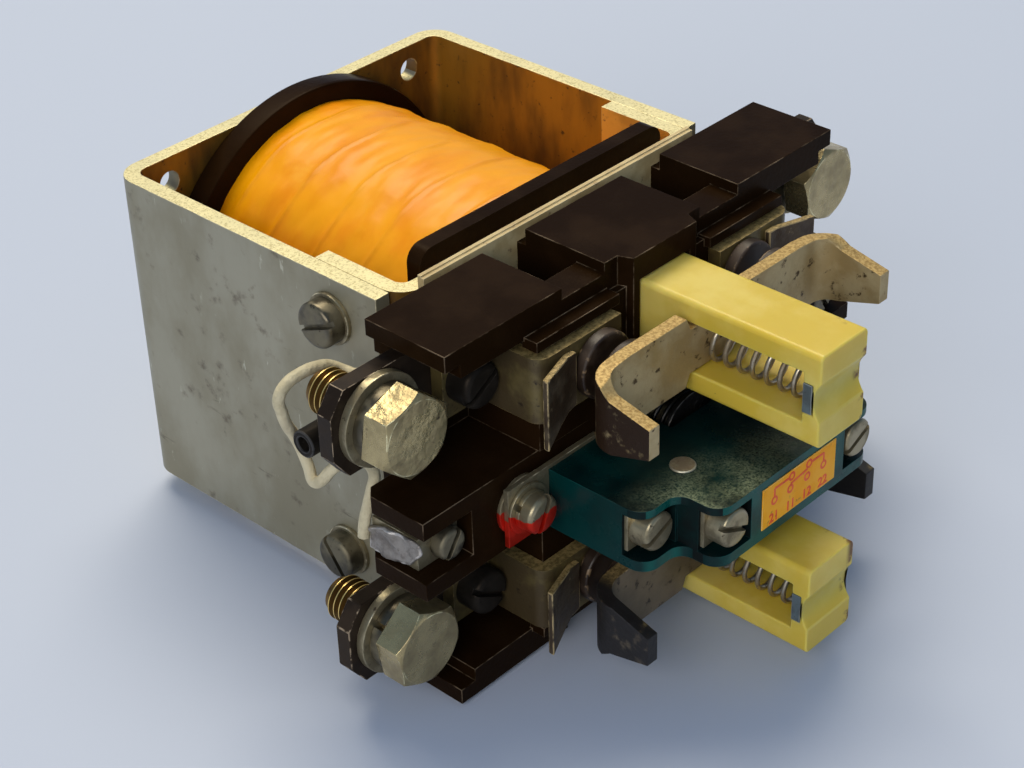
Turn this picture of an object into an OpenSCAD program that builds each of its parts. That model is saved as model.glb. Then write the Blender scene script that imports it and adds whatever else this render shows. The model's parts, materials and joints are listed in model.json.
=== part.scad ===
// DC contactor with two poles and an auxiliary contact block, in millimetres.
// The yoke's rear face is the plane y = 0 and the contacts look along -y.
// x = 0 and z = 0 run through the middle of the four mounting holes.

/* [Yoke] */
// width of the yoke over its side walls
yoke_w = 80; // [78:1:90]
// depth of the yoke from its rear face to its open front
yoke_depth = 66; // [64:1:80]
// height of the yoke
yoke_h = 62; // [60:1:70]
// thickness of the yoke and of the pole plate
steel_t = 3; // [2:0.5:3.5]
// outer radius of the steel bends
bend_r = 5; // [4.5:0.5:7]
// spacing of the mounting holes across
mount_x = 60; // [50:1:64]
// spacing of the mounting holes up and down
mount_z = 52; // [44:1:54]
// diameter of the mounting holes
mount_hole_d = 4.3; // [3.5:0.1:6]
// length of the pole plate's side tabs, from its front face
tab_len = 20.2; // [18:0.1:26]
// distance from the yoke's front edge back to its side screws
yoke_screw_back = 10.8; // [8:0.1:12]
// height of the side screws above the middle
yoke_screw_z = 23.5; // [18:0.5:26]
// diameter of the side screws
yoke_screw_d = 5; // [4:0.5:5]
// diameter of the side screws' heads
yoke_head_d = 8.2; // [7.6:0.1:10]
// height of the side screws' heads
yoke_head_h = 3.2; // [2:0.1:4]
// diameter of the side screws' washers
yoke_washer_d = 9.4; // [9:0.1:12]
// thickness of the side screws' washers
yoke_washer_t = 0.9; // [0.6:0.1:1.2]

/* [Coil] */
// radius of the round rear flange
rear_flange_r = 34.2; // [33:0.1:36]
// thickness of the rear flange
rear_flange_t = 4.9; // [3:0.1:6]
// width of the front flange
front_flange_w = 60; // [58:1:66]
// height of the front flange
front_flange_h = 70; // [66:1:72]
// thickness of the front flange
front_flange_t = 3; // [2.5:0.1:5]
// corner radius of the front flange
front_flange_r = 3; // [2:0.5:8]
// radius of the taped winding
winding_r = 31.5; // [29:0.1:31.8]
// wall of the bobbin's tube
bobbin_wall = 1.5; // [1:0.1:3]

/* [Magnet] */
// radius of the plunger
plunger_r = 10.5; // [9:0.1:11]
// travel of the armature
travel = 6; // [3:0.1:6]
// gap left between plunger and core at the end of the travel
end_gap = 0.3; // [0.2:0.1:1]
// wall of the guide tube
guide_t = 0.8; // [0.5:0.1:1.2]
// length of the fixed core
core_len = 27; // [20:1:30]
// diameter of the screw that holds the core
core_screw_d = 8; // [6:1:10]
// gap round a part that slides
slide_gap = 0.3; // [0.2:0.05:0.4]
// radius of the pull rod
rod_r = 2.3; // [2:0.1:2.5]

/* [Contact base] */
// thickness of the insulating sheet
sheet_t = 1.4; // [0.6:0.1:2]
// width of the insulating sheet
sheet_w = 67; // [62:1:70]
// height of the insulating sheet
sheet_h = 67.6; // [62:0.2:70]
// thickness of the base's rear slab
slab_t = 4.6; // [4.4:0.1:6]
// width of the base's rear slab
base_w = 90; // [88:1:92]
// depth of the base's blocks in front of the sheet
block_depth = 19; // [18.5:0.1:22]
// height of the base over its blocks
block_h = 68; // [67:1:72]
// thickness of the side blocks' overhanging roof
roof_t = 3; // [2:0.1:4]
// outer side of the side blocks
block_out = 48.3; // [47:0.1:50]
// inner side of the side blocks
block_in = 22.1; // [20:0.1:24]
// half width of the middle block
middle_half = 12; // [11:0.1:13]
// half width of the backing behind the fixed contacts
backing_half = 29.5; // [28:0.1:29.5]
// half height of the bar between the poles
bar_half = 7.55; // [7:0.05:8]
// outer end of the fins that guard the coil clips
fin_out = 55.6; // [55:0.1:56.5]
// thickness of the fins
fin_t = 3.3; // [2:0.1:3.5]
// depth of the chamber that the traverse moves in
chamber_depth = 13.9; // [13.5:0.1:15]

/* [Poles] */
// height of each pole's centre above the middle
pole_z = 20.6; // [20.2:0.1:22]
// half height of a terminal strip
strip_half = 7.9; // [7:0.1:8]
// thickness of a terminal strip
strip_t = 3; // [2:0.1:4]
// outer end of the terminal strips
strip_out = 61.7; // [60:0.1:64]
// place of the terminal bolts across
bolt_x = 52.4; // [50.5:0.1:53.5]
// diameter of the terminal bolts
bolt_d = 8; // [6:1:8]
// width of the hexagon head across its flats
hex_af = 13; // [12:0.5:13]
// height of the hexagon head
hex_h = 5.3; // [4:0.1:6]
// length of thread behind a strip
bolt_tail = 9.5; // [5:0.5:9.5]
// place of the strip screws across
strip_screw_x = 35.8; // [35.8:0.1:36.5]
// half height of a fixed contact
contact_half = 6; // [5:0.1:6.5]
// thickness of a fixed contact
contact_t = 2.5; // [1.5:0.1:3]
// outer side of a fixed contact's band
band_out = 32; // [31.6:0.1:32.2]
// inner end of a fixed contact
contact_in = 12.6; // [12.4:0.1:12.8]
// place of the contact buttons across
button_x = 18.6; // [18.6:0.1:19]
// radius of the contact buttons
button_r = 5.8; // [5:0.1:6]
// thickness of a fixed button
fixed_button_t = 2.4; // [1.5:0.1:3]
// thickness of a moving button
moving_button_t = 2; // [1.5:0.1:2.5]
// gap between open contacts
contact_gap = 2.8; // [2.8:0.1:4]
// gap that the closed contacts keep
closed_gap = 0.04; // [0.02:0.01:0.2]
// thickness of an arc plate
arc_t = 1.2; // [0.8:0.1:1.5]
// length of the plate, outward from the button
arc_len = 9.4; // [8:0.1:9.6]
// how far the plate leans forward at its outer end
arc_lean = 2.4; // [1:0.1:3]
// half height of the plate at its inner end
arc_top = 5; // [4:0.1:5.4]

/* [Bridges and carriers] */
// thickness of a bridge
bridge_t = 2.5; // [2:0.1:3]
// half height of a bridge
bridge_half = 6.5; // [6:0.1:6.8]
// half height of a bridge where it crosses its carrier
bridge_neck = 4.2; // [3.5:0.1:4.2]
// outer side of a bridge's horns
horn_out = 31; // [30:0.1:32]
// length of a bridge in front of its rear face, to the horns' tips
horn_len = 14; // [10:0.5:16]
// outer radius of a horn's bend
horn_r = 6; // [4:0.5:7]
// half width of a carrier
carrier_half = 6; // [5.5:0.1:6]
// half height of a carrier
carrier_h = 8.5; // [7.8:0.1:8.5]
// half height of a carrier's window
window_half = 4.5; // [4.5:0.1:5]
// length of a carrier's window
window_len = 24; // [22:0.5:26]
// thickness of a carrier in front of its window
carrier_front = 3.4; // [3.2:0.1:5]
// thickness of a spring seat
seat_t = 1.8; // [1:0.1:1.8]
// half height of a spring seat
seat_half = 2.7; // [2:0.1:3.5]
// outer diameter of a contact spring
contact_spring_d = 8.6; // [7:0.1:8.6]
// wire of a contact spring
contact_wire = 0.9; // [0.7:0.1:1]
// curls of a contact spring
contact_curls = 7.5; // [5:0.5:8]
// thickness of the traverse
traverse_t = 5; // [4:0.1:5.5]
// diameter of the carrier screws
carrier_screw_d = 4; // [3:0.5:4]

/* [Return spring] */
// outer diameter of the return spring
return_d = 13; // [11:0.1:13]
// wire of the return spring
return_wire = 0.8; // [0.6:0.05:0.8]
// curls of the return spring
return_curls = 6; // [4:0.5:6]
// length of the return spring at rest
return_len = 11; // [11:0.1:12]

/* [Auxiliary block] */
// half width of the auxiliary block
aux_half = 29; // [28.6:0.1:29]
// half width of its front part
aux_front_half = 20.5; // [20.4:0.1:20.8]
// depth of the auxiliary block
aux_depth = 28.2; // [27.6:0.1:31]
// depth of its two wings
wing_depth = 19.7; // [19.3:0.1:21]
// top of the auxiliary block above the middle
aux_top = 4.5; // [4.3:0.1:5]
// bottom of the auxiliary block below the middle
aux_bottom = 7; // [6.6:0.1:7.2]
// thickness of its floor, which stands out under the terminals
aux_floor = 2; // [1:0.1:2.2]
// place of the wing terminals across
wing_screw_x = 24.9; // [24.8:0.1:25]
// place of the front terminals across
front_screw_x = 16.4; // [16.2:0.1:16.5]
// radius of the terminal screws' heads
aux_head_r = 3.4; // [2.5:0.1:3.5]
// place of the rivets across
rivet_x = 14.4; // [14:0.1:15]
// depth of the rivets in the block
rivet_depth = 15.7; // [15.5:0.1:17]
// place of the bracket screws across
bracket_screw_x = 34.3; // [34:0.1:36]
// thickness of a bracket
bracket_t = 1; // [0.8:0.1:1.2]

/* [Coil leads] */
// radius of a coil lead
lead_r = 1; // [0.8:0.05:1.05]
// outer radius of the rubber sleeve
sleeve_r = 2.4; // [2:0.1:2.5]
// place of the clip screws across
clip_screw_x = 48.5; // [48.3:0.1:48.8]
// thickness of a coil clip
clip_t = 1; // [0.8:0.1:1.2]

/* [Hidden] */
$fn = 48;
// room that a cut runs past a face
over = 1;
// depth that one block of the base runs into the next
join = 0.5;
// hair's breadth that a spring keeps from what it presses on
hair = 0.02;

// Faces along the depth, from the yoke's rear to the front
y_wall = -steel_t;
y_open = -yoke_depth;
y_plate = y_open - steel_t;
y_sheet = y_plate - sheet_t;
y_slab = y_sheet - slab_t;
y_strip = y_slab - strip_t;
y_foot = y_strip - contact_t;
y_blocks = y_sheet - block_depth;
y_bar = y_blocks - 0.9;
y_backing = y_blocks - 1.4;
y_lip = y_blocks - 2.7;
y_boss = y_blocks - 2.6;
y_band = y_backing - 0.1 - contact_t;
y_fixed_face = y_band - fixed_button_t;
y_moving_face = y_fixed_face - contact_gap;
y_bridge = y_moving_face - moving_button_t;
y_bridge_front = y_bridge - bridge_t;
y_window = y_bridge + slide_gap;
y_seat = y_window - window_len;
y_carrier = y_seat - carrier_front;

// The moving column
y_core = y_wall - core_len;
y_plunger = y_core - end_gap - travel;
y_chamber = y_sheet - chamber_depth;
y_traverse = y_chamber + slide_gap;
y_traverse_rear = y_traverse + traverse_t;
y_pocket = y_chamber - 1.7;
y_cup = y_pocket - return_len;
cup_t = 1;
rod_head_t = 0.8;
rod_head_r = 3;
y_rod = y_cup - cup_t - rod_head_t;
guide_in = plunger_r + slide_gap;
guide_out = guide_in + guide_t;
bobbin_out = guide_out + bobbin_wall;
bridge_travel = contact_gap - closed_gap;
pocket_r = return_d / 2 + 0.7;
cup_r = return_d / 2 + 0.4;

// The auxiliary block and its brackets
spacer_t = 0.8;
y_bracket_rear = y_bar - spacer_t;
y_aux = y_bracket_rear - bracket_t;
y_wing = y_aux - wing_depth;
y_aux_front = y_aux - aux_depth;
y_notch = y_rod - 0.7;
aux_floor_top = -aux_bottom + aux_floor;
aux_screw_z = -0.7;
y_aux_chamber = y_notch - 2.5;
aux_chamber_len = 15;
aux_chamber_half = 9.5;
aux_chamber_top = aux_top - 2;
aux_chamber_bottom = aux_floor_top + 1;
aux_bar_t = 0.8;
y_moving_rear = y_aux_chamber - 10.2;
y_front_bar = y_moving_rear - aux_bar_t - slide_gap;
y_rear_bar = y_moving_rear + travel + slide_gap + aux_bar_t;
recess_depth = 4.3;
aux_recess_half = 4;
aux_recess_top = aux_top - 1.5;
aux_washer_t = 0.8;
aux_washer_half = 3.6;
arc_bend = 2;
aux_head_h = 3.7;
aux_corner_r = 3.2;
aux_fillet = 2.6;

// Smaller pieces
inner_gap = 0.05;
base_half = base_w / 2;
block_top = block_h / 2;
backing_top = pole_z + strip_half + 0.1;
chamber_top = pole_z + carrier_h + 0.9;
recess_floor = pole_z - 0.6;
lead_edge = 3.5;
lead_x = front_flange_w / 2 - lead_edge;
lead_z = 24.3;
lead_room = 0.3;
strip_in = backing_half + 0.5;
strip_chamfer_x = 3;
strip_chamfer_z = 4;
strip_screw_d = 4;
strip_head_d = 8;
strip_head_h = 4.6;
washer_d = 16;
washer_t = 1.6;
spring_washer_d = 13.2;
spring_washer_t = 2.1;
y_head = y_strip - washer_t - spring_washer_t;
base_screw_x = 25;
base_screw_z = 13.6;
base_screw_d = 4;
base_screw_len = 14;
bracket_screw_d = 4;
bracket_head_d = 6.8;
bracket_head_h = 2.4;
bracket_washer_d = 9;
bracket_washer_t = 0.6;
bracket_spring_d = 7;
bracket_spring_t = 0.9;
bracket_spacer_d = 10.4;
bracket_in = 17;
bracket_out = 38.6;
clip_screw_z = -0.8;
clip_screw_d = 3;
clip_head_d = 5.6;
clip_head_h = 2.6;
y_fin_rear = y_slab - 2;
y_web = y_blocks + 3.4;
y_clip = y_web - clip_t;
fin_chamfer = 1.8;
clip_out = fin_out - 1.6;
clip_half = 3;
clip_z = clip_screw_z - 0.2;
solder_t = 0.9;
slot_w = 1;
slot_d = 1.2;

// Shared shapes
module box(x, y, z) {
    translate([min(x), min(y), min(z)])
        cube([max(x) - min(x), max(y) - min(y), max(z) - min(z)]);
}

module rod_y(r, y) {
    translate([0, max(y), 0])
        rotate([90, 0, 0])
            cylinder(r = r, h = max(y) - min(y));
}

// cone with its axis along y, r_rear at the greater y
module cone_y(r_rear, r_front, y) {
    translate([0, max(y), 0])
        rotate([90, 0, 0])
            cylinder(r1 = r_rear, r2 = r_front, h = max(y) - min(y));
}

module rod_x(r, x) {
    translate([min(x), 0, 0])
        rotate([0, 90, 0])
            cylinder(r = r, h = max(x) - min(x));
}

module ring_y(r_out, r_in, y) {
    difference() {
        rod_y(r_out, y);
        rod_y(r_in, [min(y) - over, max(y) + over]);
    }
}

// ring with one slanting cut, as a spring washer has
module split_ring_y(r_out, r_in, y, turn) {
    difference() {
        ring_y(r_out, r_in, y);
        rotate([0, turn, 0])
            box([-0.5, 0.5], [min(y) - over, max(y) + over], [0, r_out + over]);
    }
}

// screw along y with a slotted round head, its face toward -y
module slotted_screw_y(d, head_d, head_h, y_face, y_end, turn) {
    difference() {
        rod_y(head_d / 2, [y_face, y_face + head_h]);
        rotate([0, turn, 0])
            box([-head_d, head_d], [y_face - over, y_face + slot_d], [-slot_w / 2, slot_w / 2]);
    }
    rod_y(d / 2, [y_face + head_h, y_end]);
}

module both_sides() {
    children();
    mirror([1, 0, 0])
        children();
}

module both_poles() {
    children();
    mirror([0, 0, 1])
        children();
}

module four() {
    both_sides()
        both_poles()
            children();
}

// moves what is made for the upper right pole to any of the four corners
module corner(left, lower) {
    mirror([left ? 1 : 0, 0, 0])
        mirror([0, 0, lower ? 1 : 0])
            children();
}

module at_y_axis(x, z) {
    translate([x, 0, z])
        children();
}

// outline of a sheet seen from above, with its two corners at y = 0 rounded
module round_back(w, d, r) {
    translate([-w / 2, -d])
        square([w, d - r]);
    translate([-w / 2 + r, -d])
        square([w - 2 * r, d]);
    for (side = [-1, 1])
        translate([side * (w / 2 - r), -r])
            circle(r);
}

module bent_sheet(w, d, h) {
    linear_extrude(h, center = true)
        difference() {
            round_back(w, d, bend_r);
            translate([0, -steel_t])
                round_back(w - 2 * steel_t, d, bend_r - steel_t);
        }
}

// upright outline, drawn as x and z, made a plate between two depths
module plate_y(y) {
    translate([0, max(y), 0])
        rotate([90, 0, 0])
            linear_extrude(max(y) - min(y))
                children();
}

module round_rect(w, h, r) {
    square([w - 2 * r, h], center = true);
    square([w, h - 2 * r], center = true);
    for (x = [-1, 1], y = [-1, 1])
        translate([x * (w / 2 - r), y * (h / 2 - r)])
            circle(r);
}

// Tubes along a list of points
function unit(v) = v / norm(v);
function across(t) = unit(cross(t, abs(t.z) < 0.9 ? [0, 0, 1] : [1, 0, 0]));
function tangents(p) = [for (i = [0:len(p) - 1])
    unit(p[min(i + 1, len(p) - 1)] - p[max(i - 1, 0)])];
function carried(t, i, u) = i >= len(t) ? u
    : carried(t, i + 1, concat(u, [unit(u[i - 1] - (u[i - 1] * t[i]) * t[i])]));

module tube(p, r, sides) {
    t = tangents(p);
    u = carried(t, 1, [across(t[0])]);
    rings = [for (i = [0:len(p) - 1], k = [0:sides - 1])
        p[i] + r * (cos(360 * k / sides) * u[i] + sin(360 * k / sides) * cross(t[i], u[i]))];
    last = (len(p) - 1) * sides;
    skin = [for (i = [0:len(p) - 2], k = [0:sides - 1], half = [0, 1])
        let (a = i * sides + k, b = i * sides + (k + 1) % sides)
        half == 0 ? [a, a + sides, b + sides] : [a, b + sides, b]];
    start = [[for (k = [0:sides - 1]) k]];
    end = [[for (k = [sides - 1:-1:0]) last + k]];
    polyhedron(concat(rings), concat(skin, start, end), convexity = 10);
}

// smooth points through a hand made route
function spline(a, b, c, d, s) = 0.5 * (2 * b + (c - a) * s
    + (2 * a - 5 * b + 4 * c - d) * s * s + (3 * b - a - 3 * c + d) * s * s * s);
function smooth(p, steps) = concat([for (i = [0:len(p) - 2], k = [0:steps - 1])
    spline(p[max(i - 1, 0)], p[i], p[i + 1], p[min(i + 2, len(p) - 1)], k / steps)],
    [p[len(p) - 1]]);

// points of a coil round the y axis, eight to a curl
function coil_points(r, curls, y0, y1) = [for (i = [0:round(curls * 8)])
    let (s = i / round(curls * 8))
    [r * cos(360 * curls * s), y0 + (y1 - y0) * s, r * sin(360 * curls * s)]];
function least_gap(p, wire) = min([for (i = [0:len(p) - 1], k = [i + 5:1:len(p) - 1])
    norm(p[i] - p[k])]) - wire;

// Magnet
module yoke() {
    color([0.62, 0.62, 0.56])
        difference() {
            bent_sheet(yoke_w, yoke_depth, yoke_h);
            for (x = [-1, 1], z = [-1, 1])
                at_y_axis(x * mount_x / 2, z * mount_z / 2)
                    rod_y(mount_hole_d / 2, [y_wall - over, over]);
            cone_y(core_screw_d / 2 + steel_t, core_screw_d / 2, [y_wall, 0]);
            rod_y(core_screw_d / 2, [y_wall - over, 0]);
            yoke_screw_holes(yoke_screw_d / 2);
        }
}

module yoke_screw_holes(r) {
    for (z = [-1, 1])
        translate([0, y_open + yoke_screw_back, z * yoke_screw_z])
            rod_x(r, [-yoke_w, yoke_w]);
}

module pole_plate() {
    color([0.62, 0.62, 0.56])
        difference() {
            translate([0, y_plate, 0])
                mirror([0, 1, 0])
                    bent_sheet(yoke_w - 2 * steel_t, tab_len, yoke_h);
            rod_y(guide_out, [y_plate - over, y_open + over]);
            yoke_screw_holes(yoke_screw_d / 2);
            both_sides()
                lead_hole(y_plate - over, y_open + over);
            four()
                base_screw();
        }
}

module yoke_screws() {
    head_x = yoke_w / 2 + yoke_washer_t;
    color([0.45, 0.44, 0.38])
        both_sides()
            for (z = [-1, 1])
                translate([0, y_open + yoke_screw_back, z * yoke_screw_z]) {
                    rod_x(yoke_screw_d / 2, [yoke_w / 2 - 2 * steel_t - 1, head_x]);
                    difference() {
                        rod_x(yoke_head_d / 2, [head_x, head_x + yoke_head_h]);
                        rotate([z > 0 ? -23 : 54, 0, 0])
                            box([head_x + yoke_head_h - slot_d, head_x + yoke_head_h + over],
                                [-yoke_head_d, yoke_head_d], [-slot_w / 2, slot_w / 2]);
                    }
                }
}

module yoke_screw_washers() {
    color([0.6, 0.6, 0.55])
        both_sides()
            for (z = [-1, 1])
                translate([0, y_open + yoke_screw_back, z * yoke_screw_z])
                    difference() {
                        rod_x(yoke_washer_d / 2, [yoke_w / 2, yoke_w / 2 + yoke_washer_t]);
                        rod_x(yoke_screw_d / 2, [0, yoke_w]);
                    }
}

module insulating_sheet() {
    half = sheet_w / 2;
    top = sheet_h / 2;
    color([0.75, 0.68, 0.45])
        difference() {
            union() {
                box([-half, half], [y_plate - sheet_t / 2, y_plate], [-top, top]);
                box([-half, half], [y_sheet, y_plate - sheet_t / 2 + 0.1], [-top + 0.3, top - 0.3]);
            }
            rod_y(guide_out, [y_sheet - over, y_plate + over]);
            both_sides()
                lead_hole(y_sheet - over, y_plate + over);
            four()
                base_screw();
        }
}

module fixed_core() {
    color([0.5, 0.5, 0.48])
        difference() {
            rod_y(guide_in, [y_core, y_wall]);
            rod_y(core_screw_d / 2, [y_wall - 16, y_wall + over]);
        }
}

module core_screw() {
    color([0.55, 0.52, 0.4])
        difference() {
            union() {
                cone_y(core_screw_d / 2 + steel_t, core_screw_d / 2, [y_wall, 0]);
                rod_y(core_screw_d / 2, [y_wall - 15, y_wall]);
            }
            box([-yoke_w, yoke_w], [-slot_d, over], [-slot_w / 2, slot_w / 2]);
        }
}

module guide_tube() {
    color([0.8, 0.65, 0.3])
        ring_y(guide_out, guide_in, [y_plate, y_wall]);
}

module coil_bobbin() {
    color([0.12, 0.11, 0.1])
        difference() {
            union() {
                rod_y(rear_flange_r, [y_wall - rear_flange_t, y_wall]);
                rod_y(bobbin_out, [y_open, y_wall]);
                plate_y([y_open, y_open + front_flange_t])
                    round_rect(front_flange_w, front_flange_h, front_flange_r);
            }
            rod_y(guide_out, [y_open - over, y_wall + over]);
            both_sides()
                lead_hole(y_open - over, y_open + front_flange_t + over);
        }
}

module coil_winding() {
    color([0.95, 0.6, 0.1])
        ring_y(winding_r, bobbin_out, [y_open + front_flange_t, y_wall - rear_flange_t]);
}

module lead_hole(y0, y1) {
    at_y_axis(lead_x, lead_z)
        rod_y(lead_r + lead_room, [y0, y1]);
}

module plunger() {
    color([0.55, 0.55, 0.53])
        difference() {
            rod_y(plunger_r, [y_traverse_rear, y_plunger]);
            rod_y(rod_r, [y_traverse_rear - over, y_traverse_rear + 10]);
        }
}

module pull_rod() {
    color([0.6, 0.6, 0.58]) {
        rod_y(rod_r, [y_cup - cup_t, y_traverse_rear + 10]);
        rod_y(rod_head_r, [y_rod, y_cup - cup_t]);
    }
}

module spring_cup() {
    color([0.5, 0.48, 0.4])
        ring_y(cup_r, rod_r, [y_cup - cup_t, y_cup]);
}

// Contact base: slab, blocks and fins
module contact_base() {
    color([0.14, 0.11, 0.09])
        difference() {
            union() {
                box([-base_half, base_half], [y_slab, y_sheet], [-yoke_h / 2, yoke_h / 2]);
                box([-base_half, base_half], [y_bar, y_slab + join], [-bar_half, bar_half]);
                box([-backing_half, backing_half], [y_bar, y_slab + join],
                    [-bar_half - join, bar_half + join]);
                both_poles() {
                    box([-backing_half, backing_half], [y_backing, y_slab + join],
                        [bar_half, backing_top]);
                    box([-middle_half, middle_half], [y_blocks, y_sheet - 1.9],
                        [backing_top - join, block_top]);
                    guide_boss();
                    both_sides()
                        side_block();
                }
                both_sides()
                    coil_fins();
            }
            both_poles() {
                both_sides()
                    box([middle_half, block_in], [y_blocks + 5.9, y_sheet + over],
                        [recess_floor, block_top + over]);
                box([-carrier_half - slide_gap, carrier_half + slide_gap],
                    [y_boss - over, y_chamber + over],
                    [pole_z - carrier_h - slide_gap, pole_z + carrier_h + slide_gap]);
            }
            box([-carrier_half - slide_gap, carrier_half + slide_gap], [y_chamber, y_sheet + over],
                [-chamber_top, chamber_top]);
            rod_y(plunger_r + slide_gap, [y_traverse_rear - slide_gap, y_sheet + over]);
            rod_y(rod_r + slide_gap, [y_pocket - over, y_sheet]);
            rod_y(pocket_r, [y_boss - over, y_pocket]);
            both_sides()
                box([lead_x - lead_r - 1, base_half + over], [y_sheet - 3, y_sheet + over],
                    [lead_z - lead_r - 0.4, lead_z + lead_r + 0.4]);
            four() {
                base_screw();
                strip_screw();
            }
            both_sides() {
                bracket_screw();
                clip_screw();
            }
        }
}

// the block beside a recess, the wall in front of the recess and the lip over a fixed contact
module side_block() {
    box([block_in, block_out], [y_blocks, y_sheet - 1.9], [block_top - roof_t, block_top]);
    box([block_in, base_half], [y_blocks, y_sheet - 1.9], [backing_top, block_top - roof_t + join]);
    box([middle_half - join, block_in + join], [y_blocks, y_blocks + 5.9],
        [backing_top - join, block_top - 2]);
    box([middle_half - join, backing_half + 1.5], [y_lip, y_blocks + join],
        [backing_top - 1.3, backing_top + 0.6]);
}

module guide_boss() {
    half = carrier_half + 1.9;
    translate([0, 0, bar_half + 1])
        linear_extrude(block_top - bar_half - 1)
            polygon([[-half - 1, y_blocks + join], [-half - 1, y_blocks], [-half, y_boss],
                [half, y_boss], [half + 1, y_blocks], [half + 1, y_blocks + join]]);
}

// two fins and the web between them, round a coil clip
module coil_fins() {
    for (z = [-bar_half, bar_half - fin_t])
        translate([0, 0, z])
            linear_extrude(fin_t)
                polygon([[base_half - over, y_fin_rear], [fin_out - fin_chamfer, y_fin_rear],
                    [fin_out, y_fin_rear - fin_chamfer], [fin_out, y_bar],
                    [base_half - over, y_bar]]);
    box([base_half - over, clip_out - clip_t], [y_web, y_fin_rear], [-bar_half, bar_half]);
}

module base_screw() {
    at_y_axis(base_screw_x, base_screw_z) {
        cone_y(base_screw_d / 2 + 2, base_screw_d / 2, [y_open - 2, y_open]);
        rod_y(base_screw_d / 2, [y_open - base_screw_len, y_open - 2]);
    }
}

module base_screws() {
    color([0.5, 0.5, 0.45])
        difference() {
            four()
                base_screw();
            four()
                at_y_axis(base_screw_x, base_screw_z)
                    box([-5, 5], [y_open - 1, y_open + over], [-slot_w / 2, slot_w / 2]);
        }
}

// Poles
module terminal_strip() {
    color([0.3, 0.22, 0.18])
        difference() {
            plate_y([y_strip, y_slab])
                translate([0, pole_z])
                    polygon([[strip_in, -strip_half], [strip_out - strip_chamfer_x, -strip_half],
                        [strip_out, -strip_half + strip_chamfer_z],
                        [strip_out, strip_half - strip_chamfer_z],
                        [strip_out - strip_chamfer_x, strip_half], [strip_in, strip_half]]);
            strip_screw();
            at_y_axis(bolt_x, pole_z)
                rod_y(bolt_d / 2, [y_strip - over, y_slab + over]);
        }
}

module terminal_bolts() {
    color([0.75, 0.7, 0.5])
        four()
            at_y_axis(bolt_x, pole_z) {
                intersection() {
                    translate([0, y_head, 0])
                        rotate([90, 20, 0])
                            cylinder(d = hex_af / cos(30), h = hex_h, $fn = 6);
                    union() {
                        rod_y(hex_af, [y_head - hex_h + 0.8, y_head]);
                        cone_y(hex_af / 2 + 1.2, hex_af / 2 - 0.2, [y_head - hex_h, y_head - hex_h + 0.8]);
                    }
                }
                rod_y(bolt_d / 2, [y_head, y_slab + bolt_tail - 0.7]);
                cone_y(bolt_d / 2 - 0.7, bolt_d / 2, [y_slab + bolt_tail - 0.7, y_slab + bolt_tail]);
            }
}

module terminal_washers() {
    color([0.7, 0.68, 0.6])
        four()
            at_y_axis(bolt_x, pole_z)
                ring_y(washer_d / 2, bolt_d / 2, [y_strip - washer_t, y_strip]);
}

module terminal_spring_washers() {
    color([0.55, 0.53, 0.45])
        four()
            at_y_axis(bolt_x, pole_z)
                split_ring_y(spring_washer_d / 2, bolt_d / 2, [y_head, y_head + spring_washer_t], 130);
}

module strip_screw() {
    at_y_axis(strip_screw_x, pole_z)
        slotted_screw_y(strip_screw_d, strip_head_d, strip_head_h, y_foot - strip_head_h,
            y_sheet - 1, 30);
}

module strip_screws() {
    color([0.16, 0.16, 0.17])
        four()
            strip_screw();
}

// strip bent from a foot on the terminal strip, forward and then inward
module fixed_contact() {
    inner = 0.1;
    outer = inner + contact_t;
    color([0.55, 0.47, 0.35])
        difference() {
            translate([0, 0, pole_z - contact_half])
                linear_extrude(2 * contact_half) {
                    translate([band_out - contact_t, y_foot])
                        square([40.4 - band_out + contact_t, contact_t]);
                    translate([band_out - contact_t, y_band + outer])
                        square([contact_t, y_foot - y_band - outer + 0.01]);
                    intersection() {
                        translate([band_out - outer, y_band + outer])
                            difference() {
                                circle(outer);
                                circle(inner);
                            }
                        translate([band_out - outer, y_band])
                            square([outer, outer]);
                    }
                    translate([contact_in, y_band])
                        square([band_out - outer - contact_in, contact_t]);
                }
            strip_screw();
        }
}

module fixed_buttons() {
    color([0.33, 0.26, 0.22])
        four()
            at_y_axis(button_x, pole_z)
                rod_y(button_r, [y_fixed_face, y_band]);
}

// small plate welded on the contact's front, leaning forward at its outer end
module arc_plates() {
    inner = button_x + button_r + 0.2;
    bend = inner + arc_bend;
    outer = inner + arc_len;
    color([0.55, 0.48, 0.38])
        both_sides()
            for (z = [-1, 1])
                intersection() {
                    linear_extrude(4 * pole_z, center = true)
                        polygon([[inner, y_band], [inner, y_band - arc_t],
                            [bend, y_band - arc_t], [outer, y_band - arc_t - arc_lean],
                            [outer, y_band - arc_lean], [bend, y_band]]);
                    plate_y([y_band - arc_t - arc_lean - over, y_band + over])
                        translate([0, z * pole_z])
                            polygon([[inner - over, -0.9 * arc_top], [(inner + outer) / 2, -1.2 * arc_top],
                                [outer, -1.6 * arc_top], [outer + over, -1.6 * arc_top],
                                [outer + over, arc_top], [inner - over, arc_top]]);
                }
}

// Coil clips and leads
module clip_screw() {
    at_y_axis(clip_screw_x, clip_screw_z)
        slotted_screw_y(clip_screw_d, clip_head_d, clip_head_h, y_clip - clip_head_h,
            y_fin_rear - 2, 55);
}

module coil_clip_screws() {
    color([0.6, 0.58, 0.5])
        both_sides()
            clip_screw();
}

module coil_clips() {
    color([0.7, 0.68, 0.6])
        both_sides()
            difference() {
                union() {
                    box([base_half, clip_out], [y_clip, y_web],
                        [clip_z - clip_half, clip_z + clip_half]);
                    box([clip_out - clip_t, clip_out], [y_clip, y_fin_rear],
                        [clip_z - clip_half, clip_z + clip_half]);
                }
                clip_screw();
            }
}

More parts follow.
